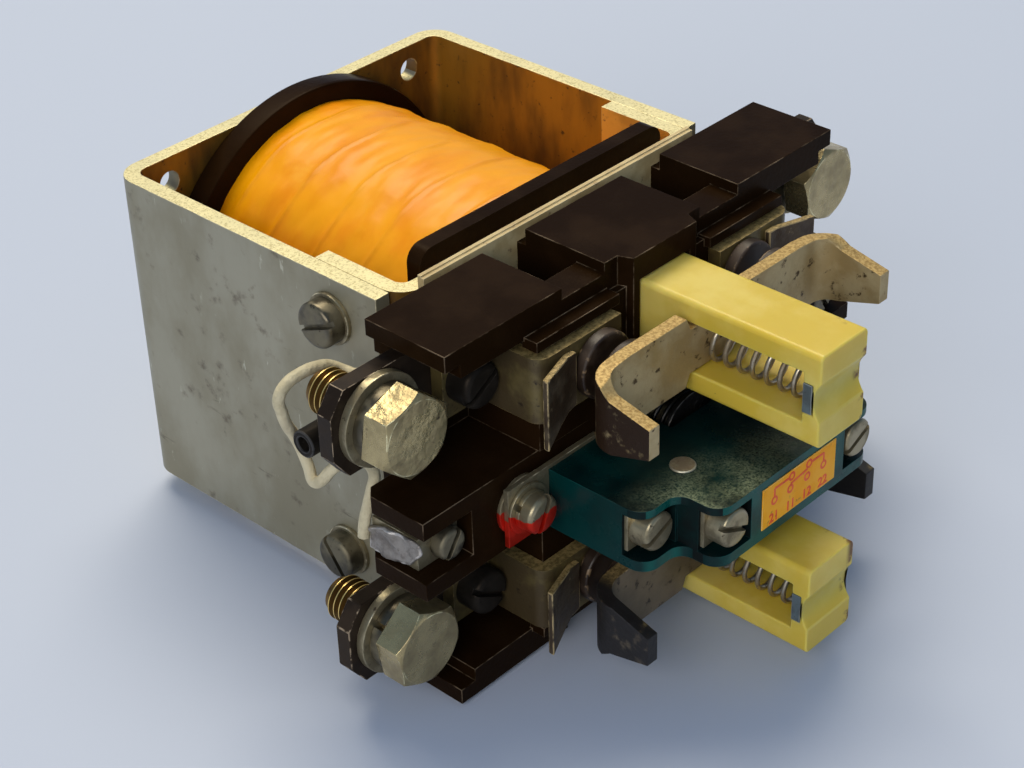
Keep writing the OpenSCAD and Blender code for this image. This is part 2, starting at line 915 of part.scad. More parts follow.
// solder spread over the clip's outer leg, up to the lead's end
module coil_solder() {
    rear = y_fin_rear + 0.2;
    front = y_clip;
    color([0.75, 0.74, 0.72])
        both_sides()
            translate([clip_out, 0, clip_z])
                rotate([90, 0, 90])
                    linear_extrude(solder_t)
                        polygon([[rear, -2.7], [rear, 1.4], [rear - 3.7, 2.7], [front + 1, 3],
                            [front - 0.9, 2.6], [front - 1.5, 1.1], [front + 1, -1.8],
                            [front + 3.5, -2.7], [rear - 3.2, -3.1]]);
}

// The leads' points are given as x, distance behind the insulating sheet's front face, and z.
// Each comes out of the winding through the flange and the plate and runs outward behind the base.
way_out = [[lead_x - 3.9, 13.4, lead_z - 0.3], [lead_x - 2.1, 10.4, lead_z + 0.5],
    [lead_x, 7.5, lead_z], [lead_x, 4.4, lead_z], [lead_x, 0.2, lead_z],
    [lead_x + 1.6, -1.6, lead_z], [33, -1.6, lead_z], [39, -1.6, lead_z], [44.6, -1.5, lead_z]];
// The left one goes behind the upper bolt's thread and in a loop behind the sleeve
left_loop = [[46.4, 0.6, 22.4], [46.6, 3.2, 20.9], [47, 5.3, 20.9], [48.7, 6.5, 22.1],
    [51.2, 6.5, 23.2], [55, 6.5, 23.7], [58.2, 6.5, 23.1], [59.7, 6.5, 21.4], [59.4, 6.5, 18.9],
    [57.8, 7.4, 15], [55.9, 8.4, 11.9], [54.6, 8.4, 8.4], [54.4, 7.2, 5.2], [54.9, 5.7, 3.4],
    [54.8, 4, 4.2], [53.7, 2.4, 6.6], [52.3, -0.2, 8.9], [51.4, -3.2, 9.5], [51.5, -5.1, 8.2]];
right_bend = [[46.6, 0.4, 22.2], [46.9, 1.6, 19], [46.9, 0.4, 14.5], [48.4, -2, 11.2],
    [50.6, -4.6, 9.4], [51.8, -5.3, 7.4]];
way_in = [[52.6, -5.35, 5.4], [53.4, -5.35, 3.4], [54.5, -5.35, 0.6], [54.9, -5.3, -2.2]];
// The spare tail of the left lead ends in the rubber sleeve
tail_way = [[46.7, 4, 19.6], [46.6, 4, 15.8], [47.2, 4.3, 13.6], [48.8, 4.4, 12.5],
    [51, 4.4, 12.5], [53.5, 4.4, 12.5]];
sleeve_x = [50, 57.5];

function placed(side, way) = [for (p = way) [side * p.x, y_sheet + p.y, p.z]];

module lead(side, way) {
    color([0.85, 0.8, 0.65])
        tube(smooth(placed(side, way), 3), lead_r, 8);
}

module left_coil_lead() {
    lead(-1, concat(way_out, left_loop, way_in));
    lead(-1, tail_way);
}

module right_coil_lead() {
    lead(1, concat(way_out, right_bend, way_in));
}

module lead_sleeve() {
    color([0.1, 0.1, 0.1])
        translate([0, y_sheet + tail_way[5].y, tail_way[5].z])
            difference() {
                rod_x(sleeve_r, -sleeve_x);
                rod_x(lead_r + lead_room, [-sleeve_x[1] - over, -sleeve_x[0] + over]);
            }
}

// Auxiliary block
module aux_outline(wing, front, half, front_half) {
    corner_r = aux_corner_r;
    translate([-half, wing + corner_r])
        square([2 * half, y_aux - wing - corner_r]);
    translate([-half + corner_r, wing])
        square([2 * (half - corner_r), corner_r]);
    translate([-front_half, front + corner_r])
        square([2 * front_half, wing - front]);
    translate([-front_half + corner_r, front])
        square([2 * (front_half - corner_r), corner_r]);
    for (side = [-1, 1]) {
        translate([side * (half - corner_r), wing + corner_r])
            circle(corner_r);
        translate([side * (front_half - corner_r), front + corner_r])
            circle(corner_r);
    }
}

// rounded inner corners between the wings' front and the front part's sides
module aux_fillets(wing, low, high) {
    arc = [for (a = [90:18:180]) [aux_front_half + aux_fillet * (1 + cos(a)),
        wing - aux_fillet * (1 - sin(a))]];
    both_sides()
        translate([0, 0, low])
            linear_extrude(high - low)
                polygon(concat([[aux_front_half - join, wing + join],
                    [aux_front_half + aux_fillet, wing + join]], arc,
                    [[aux_front_half - join, wing - aux_fillet]]));
}

module auxiliary_housing() {
    color([0.06, 0.25, 0.25])
        difference() {
            union() {
                aux_fillets(y_wing - 0.6, -aux_bottom, aux_floor_top);
                aux_fillets(y_wing, aux_recess_top, aux_top);
                translate([0, 0, -aux_bottom])
                    linear_extrude(aux_floor)
                        aux_outline(y_wing - 0.6, y_aux_front, aux_half, aux_front_half);
                translate([0, 0, aux_floor_top])
                    linear_extrude(aux_top - aux_floor_top)
                        aux_outline(y_wing, y_aux_front, aux_half, aux_front_half);
            }
            box([-pocket_r, pocket_r], [y_notch, y_aux + over], [-aux_bottom - over, aux_top + over]);
            box([-aux_chamber_half, aux_chamber_half],
                [y_aux_chamber - aux_chamber_len, y_aux_chamber],
                [aux_chamber_bottom, aux_chamber_top]);
            pusher_stem(slide_gap);
            both_sides() {
                terminal_recess(wing_screw_x, y_wing, aux_half);
                terminal_recess(front_screw_x, y_aux_front, aux_front_half);
                terminal_bars();
                terminal_screws();
                rivet();
            }
        }
}

// open to the front and to the outer side, between the floor and the top
module terminal_recess(x, y, side) {
    box([x - aux_recess_half, side + over], [y - over, y + recess_depth],
        [aux_floor_top, aux_recess_top]);
}

// contact bars from the recesses into the chamber, in front of and behind the moving contact
module terminal_bars() {
    wing_rear = y_wing + recess_depth;
    front_rear = y_aux_front + recess_depth;
    box([5, wing_screw_x + 1], [y_rear_bar - aux_bar_t, y_rear_bar], [-2, 1]);
    box([wing_screw_x - 1, wing_screw_x + 1], [wing_rear, y_rear_bar], [-2, 1]);
    box([5, front_screw_x + 1], [y_front_bar - aux_bar_t, y_front_bar], [-2, 1]);
    box([front_screw_x - 1, front_screw_x + 1], [front_rear, y_front_bar], [-2, 1]);
}

module auxiliary_terminals() {
    color([0.75, 0.6, 0.3])
        difference() {
            both_sides()
                terminal_bars();
            both_sides()
                terminal_screws();
        }
}

module terminal_screws() {
    terminal_screw(wing_screw_x, y_wing, 20);
    terminal_screw(front_screw_x, y_aux_front, -25);
}

module terminal_screw(x, y, turn) {
    face = y + recess_depth - aux_washer_t - aux_head_h;
    at_y_axis(x, aux_screw_z)
        slotted_screw_y(1.4, 2 * aux_head_r, aux_head_h, face, y + recess_depth + 1.2, turn);
}

module auxiliary_screws() {
    color([0.65, 0.63, 0.55])
        both_sides()
            terminal_screws();
}

module auxiliary_clamp_washers() {
    color([0.6, 0.58, 0.5])
        difference() {
            both_sides() {
                clamp_washer(wing_screw_x, y_wing);
                clamp_washer(front_screw_x, y_aux_front);
            }
            both_sides()
                terminal_screws();
        }
}

module clamp_washer(x, y) {
    box([x - aux_washer_half, x + aux_washer_half],
        [y + recess_depth - aux_washer_t, y + recess_depth],
        [aux_screw_z - aux_washer_half, aux_screw_z + aux_washer_half]);
}

module rivet() {
    translate([rivet_x, y_aux - rivet_depth, 0]) {
        translate([0, 0, -aux_bottom - 0.4])
            cylinder(r = 1.5, h = aux_bottom + aux_top + 0.8);
        for (z = [-aux_bottom - 0.4, aux_top])
            translate([0, 0, z])
                cylinder(r = 2.2, h = 0.4);
    }
}

module auxiliary_rivets() {
    color([0.75, 0.6, 0.3])
        both_sides()
            rivet();
}

module auxiliary_label() {
    color([0.95, 0.8, 0.2])
        box([-9.75, 9.75], [y_aux_front - 0.2, y_aux_front], [-5, aux_top - 1.6]);
}

// stem of the pusher, made larger by a gap for its hole
module pusher_stem(gap) {
    box([-2.5 - gap, 2.5 + gap], [y_aux_chamber - over, y_notch + over], [-2 - gap, 2 + gap]);
}

module auxiliary_pusher() {
    color([0.85, 0.84, 0.78])
        difference() {
            box([-2.5, 2.5], [y_front_bar - aux_bar_t, y_rod], [-2, 2]);
            moving_contact();
        }
}

module moving_contact() {
    box([-8.5, 8.5], [y_moving_rear - aux_bar_t, y_moving_rear], [-1.5, 1]);
}

module auxiliary_moving_contact() {
    color([0.75, 0.6, 0.3])
        moving_contact();
}

module auxiliary_brackets() {
    color([0.7, 0.68, 0.6])
        both_sides()
            difference() {
                plate_y([y_aux, y_bracket_rear])
                    polygon([[bracket_in, -6], [bracket_out, -6], [bracket_out, 5.2],
                        [bracket_in, 5.2]]);
                bracket_screw();
            }
}

module bracket_screw() {
    y_seat_face = y_aux - bracket_washer_t - bracket_spring_t;
    at_y_axis(bracket_screw_x, 0)
        slotted_screw_y(bracket_screw_d, bracket_head_d, bracket_head_h,
            y_seat_face - bracket_head_h, y_bar + 10, 65);
}

module bracket_screws() {
    color([0.7, 0.68, 0.6])
        both_sides()
            bracket_screw();
}

module bracket_spring_washers() {
    y0 = y_aux - bracket_washer_t - bracket_spring_t;
    color([0.55, 0.53, 0.48])
        both_sides()
            at_y_axis(bracket_screw_x, 0)
                split_ring_y(bracket_spring_d / 2, bracket_screw_d / 2,
                    [y0, y0 + bracket_spring_t], 60);
}

module bracket_washers() {
    color([0.7, 0.68, 0.6])
        both_sides()
            at_y_axis(bracket_screw_x, 0)
                ring_y(bracket_washer_d / 2, bracket_screw_d / 2, [y_aux - bracket_washer_t, y_aux]);
}

module bracket_spacers() {
    color([0.6, 0.58, 0.5])
        both_sides()
            at_y_axis(bracket_screw_x, 0)
                ring_y(bracket_spacer_d / 2, bracket_screw_d / 2, [y_bracket_rear, y_bar]);
}

// Moving column
module traverse() {
    top = pole_z + carrier_h + 0.2;
    color([0.2, 0.17, 0.14])
        difference() {
            box([-carrier_half + 0.2, carrier_half - 0.2], [y_traverse, y_traverse_rear], [-top, top]);
            rod_y(rod_r, [y_traverse - over, y_traverse_rear + over]);
            both_poles()
                carrier_screw();
        }
}

module carrier_screw() {
    at_y_axis(0, pole_z) {
        cone_y(carrier_screw_d / 2 + 1.8, carrier_screw_d / 2,
            [y_traverse_rear - 1.8, y_traverse_rear]);
        rod_y(carrier_screw_d / 2, [y_traverse_rear - 16, y_traverse_rear - 1.8]);
    }
}

module carrier_screws() {
    color([0.5, 0.5, 0.45])
        both_poles()
            difference() {
                carrier_screw();
                at_y_axis(0, pole_z)
                    box([-5, 5], [y_traverse_rear - 1, y_traverse_rear + over],
                        [-slot_w / 2, slot_w / 2]);
            }
}

module carrier() {
    scoop_half = 3.5;
    scoop_depth = carrier_front - seat_t - 0.3;
    scoop_r = (scoop_half * scoop_half + scoop_depth * scoop_depth) / (2 * scoop_depth);
    color([0.88, 0.84, 0.5])
        difference() {
            plate_y([y_carrier, y_traverse])
                translate([0, pole_z])
                    round_rect(2 * carrier_half, 2 * carrier_h, 1);
            box([-10, 10], [y_seat, y_window], [pole_z - window_half, pole_z + window_half]);
            box([-10, 10], [y_seat - seat_t, y_seat + over], [pole_z - seat_half, pole_z + seat_half]);
            translate([0, y_carrier + scoop_depth - scoop_r, pole_z])
                rod_x(scoop_r, [-10, 10]);
            carrier_screw();
        }
}

module upper_carrier() {
    carrier();
}

module lower_carrier() {
    mirror([0, 0, 1])
        carrier();
}

module spring_seats() {
    color([0.5, 0.54, 0.55])
        both_poles()
            box([-carrier_half, carrier_half], [y_seat - seat_t, y_seat],
                [pole_z - seat_half, pole_z + seat_half]);
}

contact_coil = coil_points((contact_spring_d - contact_wire) / 2, contact_curls,
    y_bridge_front - contact_wire / 2 - hair, y_seat + contact_wire / 2 + hair);
return_coil = coil_points((return_d - return_wire) / 2, return_curls,
    y_pocket - return_wire / 2 - hair, y_cup + return_wire / 2 + hair);

module upper_contact_spring() {
    echo(contact_spring_least_gap = least_gap(contact_coil, contact_wire));
    color([0.6, 0.6, 0.6])
        translate([0, 0, pole_z])
            tube(contact_coil, contact_wire / 2, 6);
}

module lower_contact_spring() {
    color([0.6, 0.6, 0.6])
        translate([0, 0, -pole_z])
            tube(contact_coil, contact_wire / 2, 6);
}

module return_spring() {
    echo(return_spring_least_gap = least_gap(return_coil, return_wire));
    color([0.25, 0.24, 0.22])
        tube(return_coil, return_wire / 2, 6);
}

// strip seen from above, with both ends bent forward
module bridge_outline() {
    bend_x = horn_out - horn_r;
    translate([-bend_x, y_bridge_front])
        square([2 * bend_x, bridge_t]);
    for (side = [-1, 1]) {
        intersection() {
            translate([side * bend_x, y_bridge - horn_r])
                difference() {
                    circle(horn_r);
                    circle(horn_r - bridge_t);
                }
            translate([side > 0 ? bend_x : -horn_out, y_bridge - horn_r])
                square([horn_r, horn_r]);
        }
        translate([side > 0 ? horn_out - bridge_t : -horn_out, y_bridge - horn_len])
            square([bridge_t, horn_len - horn_r]);
    }
}

module bridge() {
    neck_x = carrier_half + 1;
    tip = y_bridge - horn_len;
    color([0.55, 0.48, 0.38])
        intersection() {
            translate([0, 0, pole_z - 2 * bridge_half])
                linear_extrude(4 * bridge_half)
                    bridge_outline();
            plate_y([tip - over, y_bridge + over])
                translate([0, pole_z])
                    polygon(concat(front_edge(neck_x, 1), front_edge(neck_x, -1)));
            translate([-horn_out - over, 0, 0])
                rotate([90, 0, 90])
                    linear_extrude(2 * horn_out + 2 * over)
                        translate([0, pole_z])
                            polygon([[y_bridge + over, bridge_half], [y_bridge_front, bridge_half],
                                [y_bridge - horn_r, bridge_half - 2.4], [tip, 2.3],
                                [tip, -3.2], [y_bridge_front - 1, -bridge_half],
                                [y_bridge + over, -bridge_half]]);
        }
}

// edge of a bridge seen from the front, from its left end to its right end or back
function front_edge(neck_x, up) = [for (p = [[-horn_out - 1, bridge_half - 1],
    [-horn_out + 9, bridge_half], [-neck_x - 1, bridge_half], [-neck_x, bridge_neck],
    [neck_x, bridge_neck], [neck_x + 1, bridge_half], [horn_out - 9, bridge_half],
    [horn_out + 1, bridge_half - 1]]) up > 0 ? p : [-p.x, -p.y]];

module upper_bridge() {
    bridge();
}

module lower_bridge() {
    mirror([0, 0, 1])
        bridge();
}

module bridge_buttons() {
    color([0.33, 0.26, 0.22])
        both_sides()
            at_y_axis(button_x, pole_z)
                rod_y(button_r, [y_bridge, y_moving_face]);
}

module upper_bridge_buttons() {
    bridge_buttons();
}

module lower_bridge_buttons() {
    mirror([0, 0, 1])
        bridge_buttons();
}

yoke();
pole_plate();
yoke_screws();
yoke_screw_washers();
insulating_sheet();
fixed_core();
core_screw();
guide_tube();
coil_bobbin();
coil_winding();
contact_base();
base_screws();
corner(true, false) terminal_strip();  // terminal_strip_upper_left
corner(false, false) terminal_strip();  // terminal_strip_upper_right
corner(true, true) terminal_strip();  // terminal_strip_lower_left
corner(false, true) terminal_strip();  // terminal_strip_lower_right
terminal_bolts();
terminal_washers();
terminal_spring_washers();
strip_screws();
corner(true, false) fixed_contact();  // fixed_contact_upper_left
corner(false, false) fixed_contact();  // fixed_contact_upper_right
corner(true, true) fixed_contact();  // fixed_contact_lower_left
corner(false, true) fixed_contact();  // fixed_contact_lower_right
fixed_buttons();
arc_plates();
coil_clips();
coil_clip_screws();
coil_solder();
left_coil_lead();
lead_sleeve();
right_coil_lead();
auxiliary_housing();
auxiliary_rivets();
auxiliary_label();
auxiliary_terminals();
auxiliary_clamp_washers();
auxiliary_screws();
auxiliary_brackets();
bracket_screws();
bracket_spring_washers();
bracket_washers();
bracket_spacers();
plunger();
pull_rod();
spring_cup();
traverse();
carrier_screws();
upper_carrier();
lower_carrier();
spring_seats();
upper_contact_spring();
lower_contact_spring();
return_spring();
auxiliary_pusher();
auxiliary_moving_contact();
upper_bridge();
upper_bridge_buttons();
lower_bridge();
lower_bridge_buttons();
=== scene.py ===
# %% [markdown] # An open DC contactor A magnet in a bent steel yoke pulls two sliding contact
# bridges on to fixed contacts.

# %% Load the frame
import json
import math

import bmesh
import bpy
from mathutils import Matrix, Vector, noise

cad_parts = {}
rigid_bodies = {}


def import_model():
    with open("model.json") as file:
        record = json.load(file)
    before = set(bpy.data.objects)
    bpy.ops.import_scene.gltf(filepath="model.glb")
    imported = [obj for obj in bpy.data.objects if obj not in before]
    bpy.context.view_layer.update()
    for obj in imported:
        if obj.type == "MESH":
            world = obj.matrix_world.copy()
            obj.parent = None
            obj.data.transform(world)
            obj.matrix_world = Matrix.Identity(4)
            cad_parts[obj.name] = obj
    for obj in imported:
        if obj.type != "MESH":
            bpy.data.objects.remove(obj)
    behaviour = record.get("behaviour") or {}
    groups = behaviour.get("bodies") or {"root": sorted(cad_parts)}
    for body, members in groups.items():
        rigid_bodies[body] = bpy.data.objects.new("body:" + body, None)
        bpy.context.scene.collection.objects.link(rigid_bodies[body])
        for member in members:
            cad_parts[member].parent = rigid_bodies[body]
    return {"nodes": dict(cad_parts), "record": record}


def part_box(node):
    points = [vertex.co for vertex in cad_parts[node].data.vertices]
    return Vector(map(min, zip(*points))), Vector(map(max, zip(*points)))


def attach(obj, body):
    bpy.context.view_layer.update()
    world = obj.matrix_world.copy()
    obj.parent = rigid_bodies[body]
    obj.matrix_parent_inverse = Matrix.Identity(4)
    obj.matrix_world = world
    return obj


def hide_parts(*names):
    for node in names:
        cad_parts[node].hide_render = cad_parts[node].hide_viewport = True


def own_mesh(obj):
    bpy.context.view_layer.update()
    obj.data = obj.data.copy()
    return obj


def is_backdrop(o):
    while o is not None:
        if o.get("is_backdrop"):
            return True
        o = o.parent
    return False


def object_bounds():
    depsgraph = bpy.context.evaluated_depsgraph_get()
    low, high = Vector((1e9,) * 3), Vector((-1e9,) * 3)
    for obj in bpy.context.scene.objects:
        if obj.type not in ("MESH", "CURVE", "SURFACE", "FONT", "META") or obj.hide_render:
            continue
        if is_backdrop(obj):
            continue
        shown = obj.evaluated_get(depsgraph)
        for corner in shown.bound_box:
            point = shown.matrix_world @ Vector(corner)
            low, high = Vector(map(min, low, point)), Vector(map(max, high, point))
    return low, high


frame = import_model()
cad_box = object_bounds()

MM = 0.001
nodes = frame["nodes"]


def in_mm(box):
    return [[round(v / MM, 1) for v in corner] for corner in box]


# %% [markdown]
# ## The camera
# The view is from the front left and a good way above. The camera stands where the photograph's
# perspective puts it, worked out from the corners of the yoke and the contact base, and it is
# turned by three axes: what it sees as right, as up, and what lies behind it.

# %% Place the camera
CAMERA_PLACE = Vector((-242.9, -290.4, 213.2)) * MM
CAMERA_RIGHT = Vector((0.6798, -0.7329, -0.0277))
CAMERA_UP = Vector((0.4193, 0.3574, 0.8346))
LENS = 78.72
SENSOR = 36.0


def linked(name, data):
    """A new object that is in the scene."""
    made = bpy.data.objects.new(name, data)
    bpy.context.scene.collection.objects.link(made)
    return made


def place_camera():
    data = bpy.data.cameras.new("camera")
    data.lens = LENS
    data.sensor_width = SENSOR
    data.sensor_fit = "HORIZONTAL"
    data.clip_start = 0.01
    camera = linked("camera", data)
    back = CAMERA_RIGHT.cross(CAMERA_UP).normalized()
    turn = Matrix((CAMERA_RIGHT, CAMERA_UP, back)).transposed().to_4x4()
    camera.matrix_world = Matrix.Translation(CAMERA_PLACE) @ turn
    bpy.context.scene.camera = camera


place_camera()
print("camera distance:", round(CAMERA_PLACE.length, 3), "m")

# %% [markdown]
# ## Small helpers for materials
# Every finish here is a Principled BSDF fed by a few nodes. The helpers below add a node and wire it
# in one line, so that a material reads like a recipe. A value that goes into a socket may be a
# number, a colour or another node's output. Places are the model's own, in metres.

# %% Node helpers
def plug(tree, value, socket):
    if isinstance(value, bpy.types.NodeSocket):
        tree.links.new(value, socket)
    else:
        socket.default_value = (*value, 1) if socket.type == "RGBA" else value


def plug_all(tree, sockets, *values):
    for socket, value in zip(sockets, values):
        plug(tree, value, socket)


def add_node(tree, kind, inputs=None, **settings):
    made = tree.nodes.new("ShaderNode" + kind)
    for name, value in settings.items():
        setattr(made, name, value)
    for name, value in (inputs or {}).items():
        plug(tree, value, made.inputs[name])
    return made


def mixed(tree, amount, first, second):
    made = add_node(tree, "Mix", data_type="RGBA")
    plug_all(tree, [made.inputs[k] for k in (0, 6, 7)], amount, first, second)
    return made.outputs[2]


def maths(tree, operation, first, second=0.0):
    made = add_node(tree, "Math", operation=operation)
    plug_all(tree, made.inputs, first, second)
    return made.outputs[0]


def times(tree, product, *factors):
    for factor in factors:
        product = maths(tree, "MULTIPLY", product, factor)
    return product


def ramped(tree, value, low, high, to_low=0.0, to_high=1.0):
    return add_node(tree, "MapRange", {
        "Value": value, "From Min": low, "From Max": high, "To Min": to_low, "To Max": to_high},
        interpolation_type="SMOOTHSTEP").outputs["Result"]


def here(tree):
    return add_node(tree, "TexCoord").outputs["Object"]


def part_of(tree, vector, axis):
    return add_node(tree, "SeparateXYZ", {"Vector": vector}).outputs[axis]


def place_part(tree, axis):
    return part_of(tree, here(tree), axis)


def normal_part(tree, axis):
    return part_of(tree, add_node(tree, "NewGeometry").outputs["Normal"], axis)


def facing_up(tree, low, high):
    return ramped(tree, normal_part(tree, "Z"), low, high)


def shader_of(material):
    return material.node_tree.nodes["Principled BSDF"]


def new_material(name):
    material = bpy.data.materials.new(name)
    material.use_nodes = True
    return material, material.node_tree, shader_of(material).inputs


def over(material, mask, colour):
    """Lays one more colour over a finish, where the mask is 1."""
    base = shader_of(material).inputs["Base Color"]
    tree = material.node_tree
    plug(tree, mixed(tree, mask, base.links[0].from_socket, colour), base)


print("helpers are ready")

# %% [markdown]
# ## Floor and light
# The contactor stands on a pale, slightly blue table. A large soft window stands behind it and to
# the right, so its shadow falls towards the viewer, a pale wall at the left throws some light back,
# and a weak blue sky fills the shadows. Far out, where the lamps no longer reach, the table and the
# sky near the horizon show one pale colour to the camera, and give no light.

# %% Make the table and the lamps
FLOOR_Z = cad_box[0][2]
TABLE_COLOUR = (0.515, 0.56, 0.67)
PALE = (0.56, 0.6, 0.68)
GLOW_FROM = 0.45
GLOW_TO = 1.7
SKY_HEIGHT = 0.3
LIT_SPOT = Vector((0, -0.06, 0))


def seen_directly(tree):
    """1 for what the camera or a mirroring surface sees, 0 for what only gives light."""
    path = add_node(tree, "LightPath").outputs
    return maths(tree, "MAXIMUM", path["Is Camera Ray"], path["Is Glossy Ray"])


def table_material():
    material, tree, inputs = new_material("pale table")
    far = add_node(tree, "VectorMath", operation="LENGTH")
    plug(tree, here(tree), far.inputs[0])
    glow = times(tree, ramped(tree, far.outputs["Value"], GLOW_FROM, GLOW_TO), seen_directly(tree))
    plug(tree, mixed(tree, glow, TABLE_COLOUR, (0, 0, 0)), inputs["Base Color"])
    plug(tree, 0.7, inputs["Roughness"])
    plug(tree, PALE, inputs["Emission Color"])
    plug(tree, glow, inputs["Emission Strength"])
    return material


def make_table():
    mesh = bmesh.new()
    bmesh.ops.create_grid(mesh, x_segments=1, y_segments=1, size=4.0)
    bmesh.ops.translate(mesh, verts=mesh.verts, vec=(0, 0, FLOOR_Z))
    data = bpy.data.meshes.new("table")
    mesh.to_mesh(data)
    mesh.free()
    data.materials.append(table_material())
    linked("table", data)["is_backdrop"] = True


def make_lamp(name, place, size, power, colour):
    data = bpy.data.lights.new(name, "AREA")
    data.shape = "RECTANGLE"
    data.size, data.size_y = size
    data.energy = power
    data.color = colour
    turn = (LIT_SPOT - Vector(place)).to_track_quat("-Z", "Y").to_matrix().to_4x4()
    linked(name, data).matrix_world = Matrix.Translation(place) @ turn


def make_sky():
    world = bpy.data.worlds.new("sky")
    world.use_nodes = True
    tree = world.node_tree
    sky = tree.nodes["Background"]
    plug(tree, (0.36, 0.62, 1.0), sky.inputs["Color"])
    plug(tree, 0.34, sky.inputs["Strength"])
    backdrop = add_node(tree, "Background", {"Color": PALE})
    height = part_of(tree, add_node(tree, "TexCoord").outputs["Generated"], "Z")
    low_part = times(tree, ramped(tree, height, SKY_HEIGHT, 0.0), seen_directly(tree))
    both = add_node(tree, "MixShader")
    plug_all(tree, both.inputs, low_part, sky.outputs[0], backdrop.outputs[0])
    plug(tree, both.outputs[0], tree.nodes["World Output"].inputs["Surface"])
    bpy.context.scene.world = world


make_table()
make_lamp("window", (0.35, 0.44, 1.15), (0.9, 0.7), 15.6, (1.0, 0.9, 0.7))
make_lamp("left wall", (-0.9, -0.5, 0.6), (0.8, 0.6), 6.4, (1.0, 0.96, 0.9))
make_sky()
bpy.context.scene.view_settings.view_transform = "Standard"
print("table at", round(FLOOR_Z / MM, 1), "mm")

# %% [markdown]
# ## Patches, worn edges and grain
# **Patches** is noise cut between two levels: stains, oxide and dust. It reads places in metres, so
# a scale of 100 gives features about 10 mm wide, and stretching the place gives streaks. **Worn
# edges** reads the number that the edge softening leaves on each new face and breaks it up with
# patches, as paint and moulding chip along a corner. **Grain** is a fine bump.

# %% Node groups
FLOAT = "NodeSocketFloat"
VECTOR = "NodeSocketVector"


def new_group(name, inputs, output, kind):
    tree = bpy.data.node_groups.new(name, "ShaderNodeTree")
    for label, value in inputs.items():
        socket = VECTOR if isinstance(value, tuple) else FLOAT
        tree.interface.new_socket(name=label, in_out="INPUT", socket_type=socket).default_value = value
    tree.interface.new_socket(name=output, in_out="OUTPUT", socket_type=kind)
    given = tree.nodes.new("NodeGroupInput").outputs
    return tree, given, tree.nodes.new("NodeGroupOutput").inputs[output]


def grouped(tree, group, *values):
    made = add_node(tree, "Group", node_tree=group)
    plug_all(tree, made.inputs, *values)
    return made.outputs[0]


def make_patches():
    tree, given, out = new_group(
        "patches", {"Scale": 100.0, "Low": 0.4, "High": 0.6, "Stretch": (1, 1, 1), "Seed": 0.0},
        "Mask", FLOAT)
    spread = add_node(tree, "VectorMath", operation="MULTIPLY")
    plug_all(tree, spread.inputs, here(tree), given["Stretch"])
    cloud = add_node(tree, "TexNoise", {
        "Vector": spread.outputs[0], "W": given["Seed"], "Scale": given["Scale"], "Detail": 5.0,
        "Roughness": 0.6}, noise_dimensions="4D")
    plug(tree, ramped(tree, cloud.outputs["Fac"], given["Low"], given["High"]), out)
    return tree


def make_worn_edges():
    tree, given, out = new_group(
        "worn edges", {"Scale": 300.0, "Low": 0.45, "High": 0.55, "Seed": 3.0}, "Mask", FLOAT)
    edge = add_node(tree, "Attribute", attribute_name="edge").outputs["Fac"]
    chips = grouped(tree, PATCHES, given["Scale"], given["Low"], given["High"], (1, 1, 1), given["Seed"])
    plug(tree, times(tree, edge, chips), out)
    return tree


def make_grain():
    tree, given, out = new_group(
        "grain", {"Scale": 900.0, "Strength": 0.2, "Depth": 0.0002}, "Normal", VECTOR)
    cloud = add_node(tree, "TexNoise", {"Vector": here(tree), "Scale": given["Scale"], "Detail": 4.0})
    bump = add_node(tree, "Bump", {
        "Strength": given["Strength"], "Distance": given["Depth"], "Height": cloud.outputs["Fac"]})
    plug(tree, bump.outputs["Normal"], out)
    return tree


PATCHES = make_patches()
WORN_EDGES = make_worn_edges()
GRAIN = make_grain()
print("node groups:", [g.name for g in bpy.data.node_groups])

# %% [markdown]
# ## One recipe for most finishes
# Old switchgear is a base colour with stains in it, fine dark specks and worn bright edges. The
# recipe takes those four colours, how metallic and how rough the surface is, how fine its stains
# are, and a seed that moves the patterns. Specks, wear and grain can be given too, each as a scale
# and two more numbers. What is constant over the surface goes straight on the shader.

# %% The weathered recipe
def patches(tree, scale, low, high, seed=0, stretch=(1, 1, 1)):
    return grouped(tree, PATCHES, scale, low, high, stretch, seed)


def weathered(name, base, stain, speck, edge, metal, rough, stain_scale, seed, stain_rough=0.6,
              stain_range=(0.42, 0.62), stretch=(1, 1, 1), specks=(700, 0.6, 0.7), worn=(260, 0.4, 0.55),
              grain=(900, 0.15, 0.0002)):
    material, tree, inputs = new_material(name)
    stains = patches(tree, stain_scale, *stain_range, seed, stretch)
    colour = mixed(tree, stains, base, stain)
    colour = mixed(tree, patches(tree, *specks, seed + 5), colour, speck)
    colour = mixed(tree, grouped(tree, WORN_EDGES, *worn), colour, edge)
    plug(tree, colour, inputs["Base Color"])
    plug(tree, ramped(tree, stains, 0.0, 1.0, rough, stain_rough), inputs["Roughness"])
    plug(tree, metal, inputs["Metallic"])
    plug(tree, grouped(tree, GRAIN, *grain), inputs["Normal"])
    return material


def dull(material, level, tint=(1, 1, 1)):
    """Weakens the sheen of a finish."""
    plug(material.node_tree, level, shader_of(material).inputs["Specular IOR Level"])
    plug(material.node_tree, tint, shader_of(material).inputs["Specular Tint"])


print("the recipe takes", weathered.__code__.co_argcount, "values")
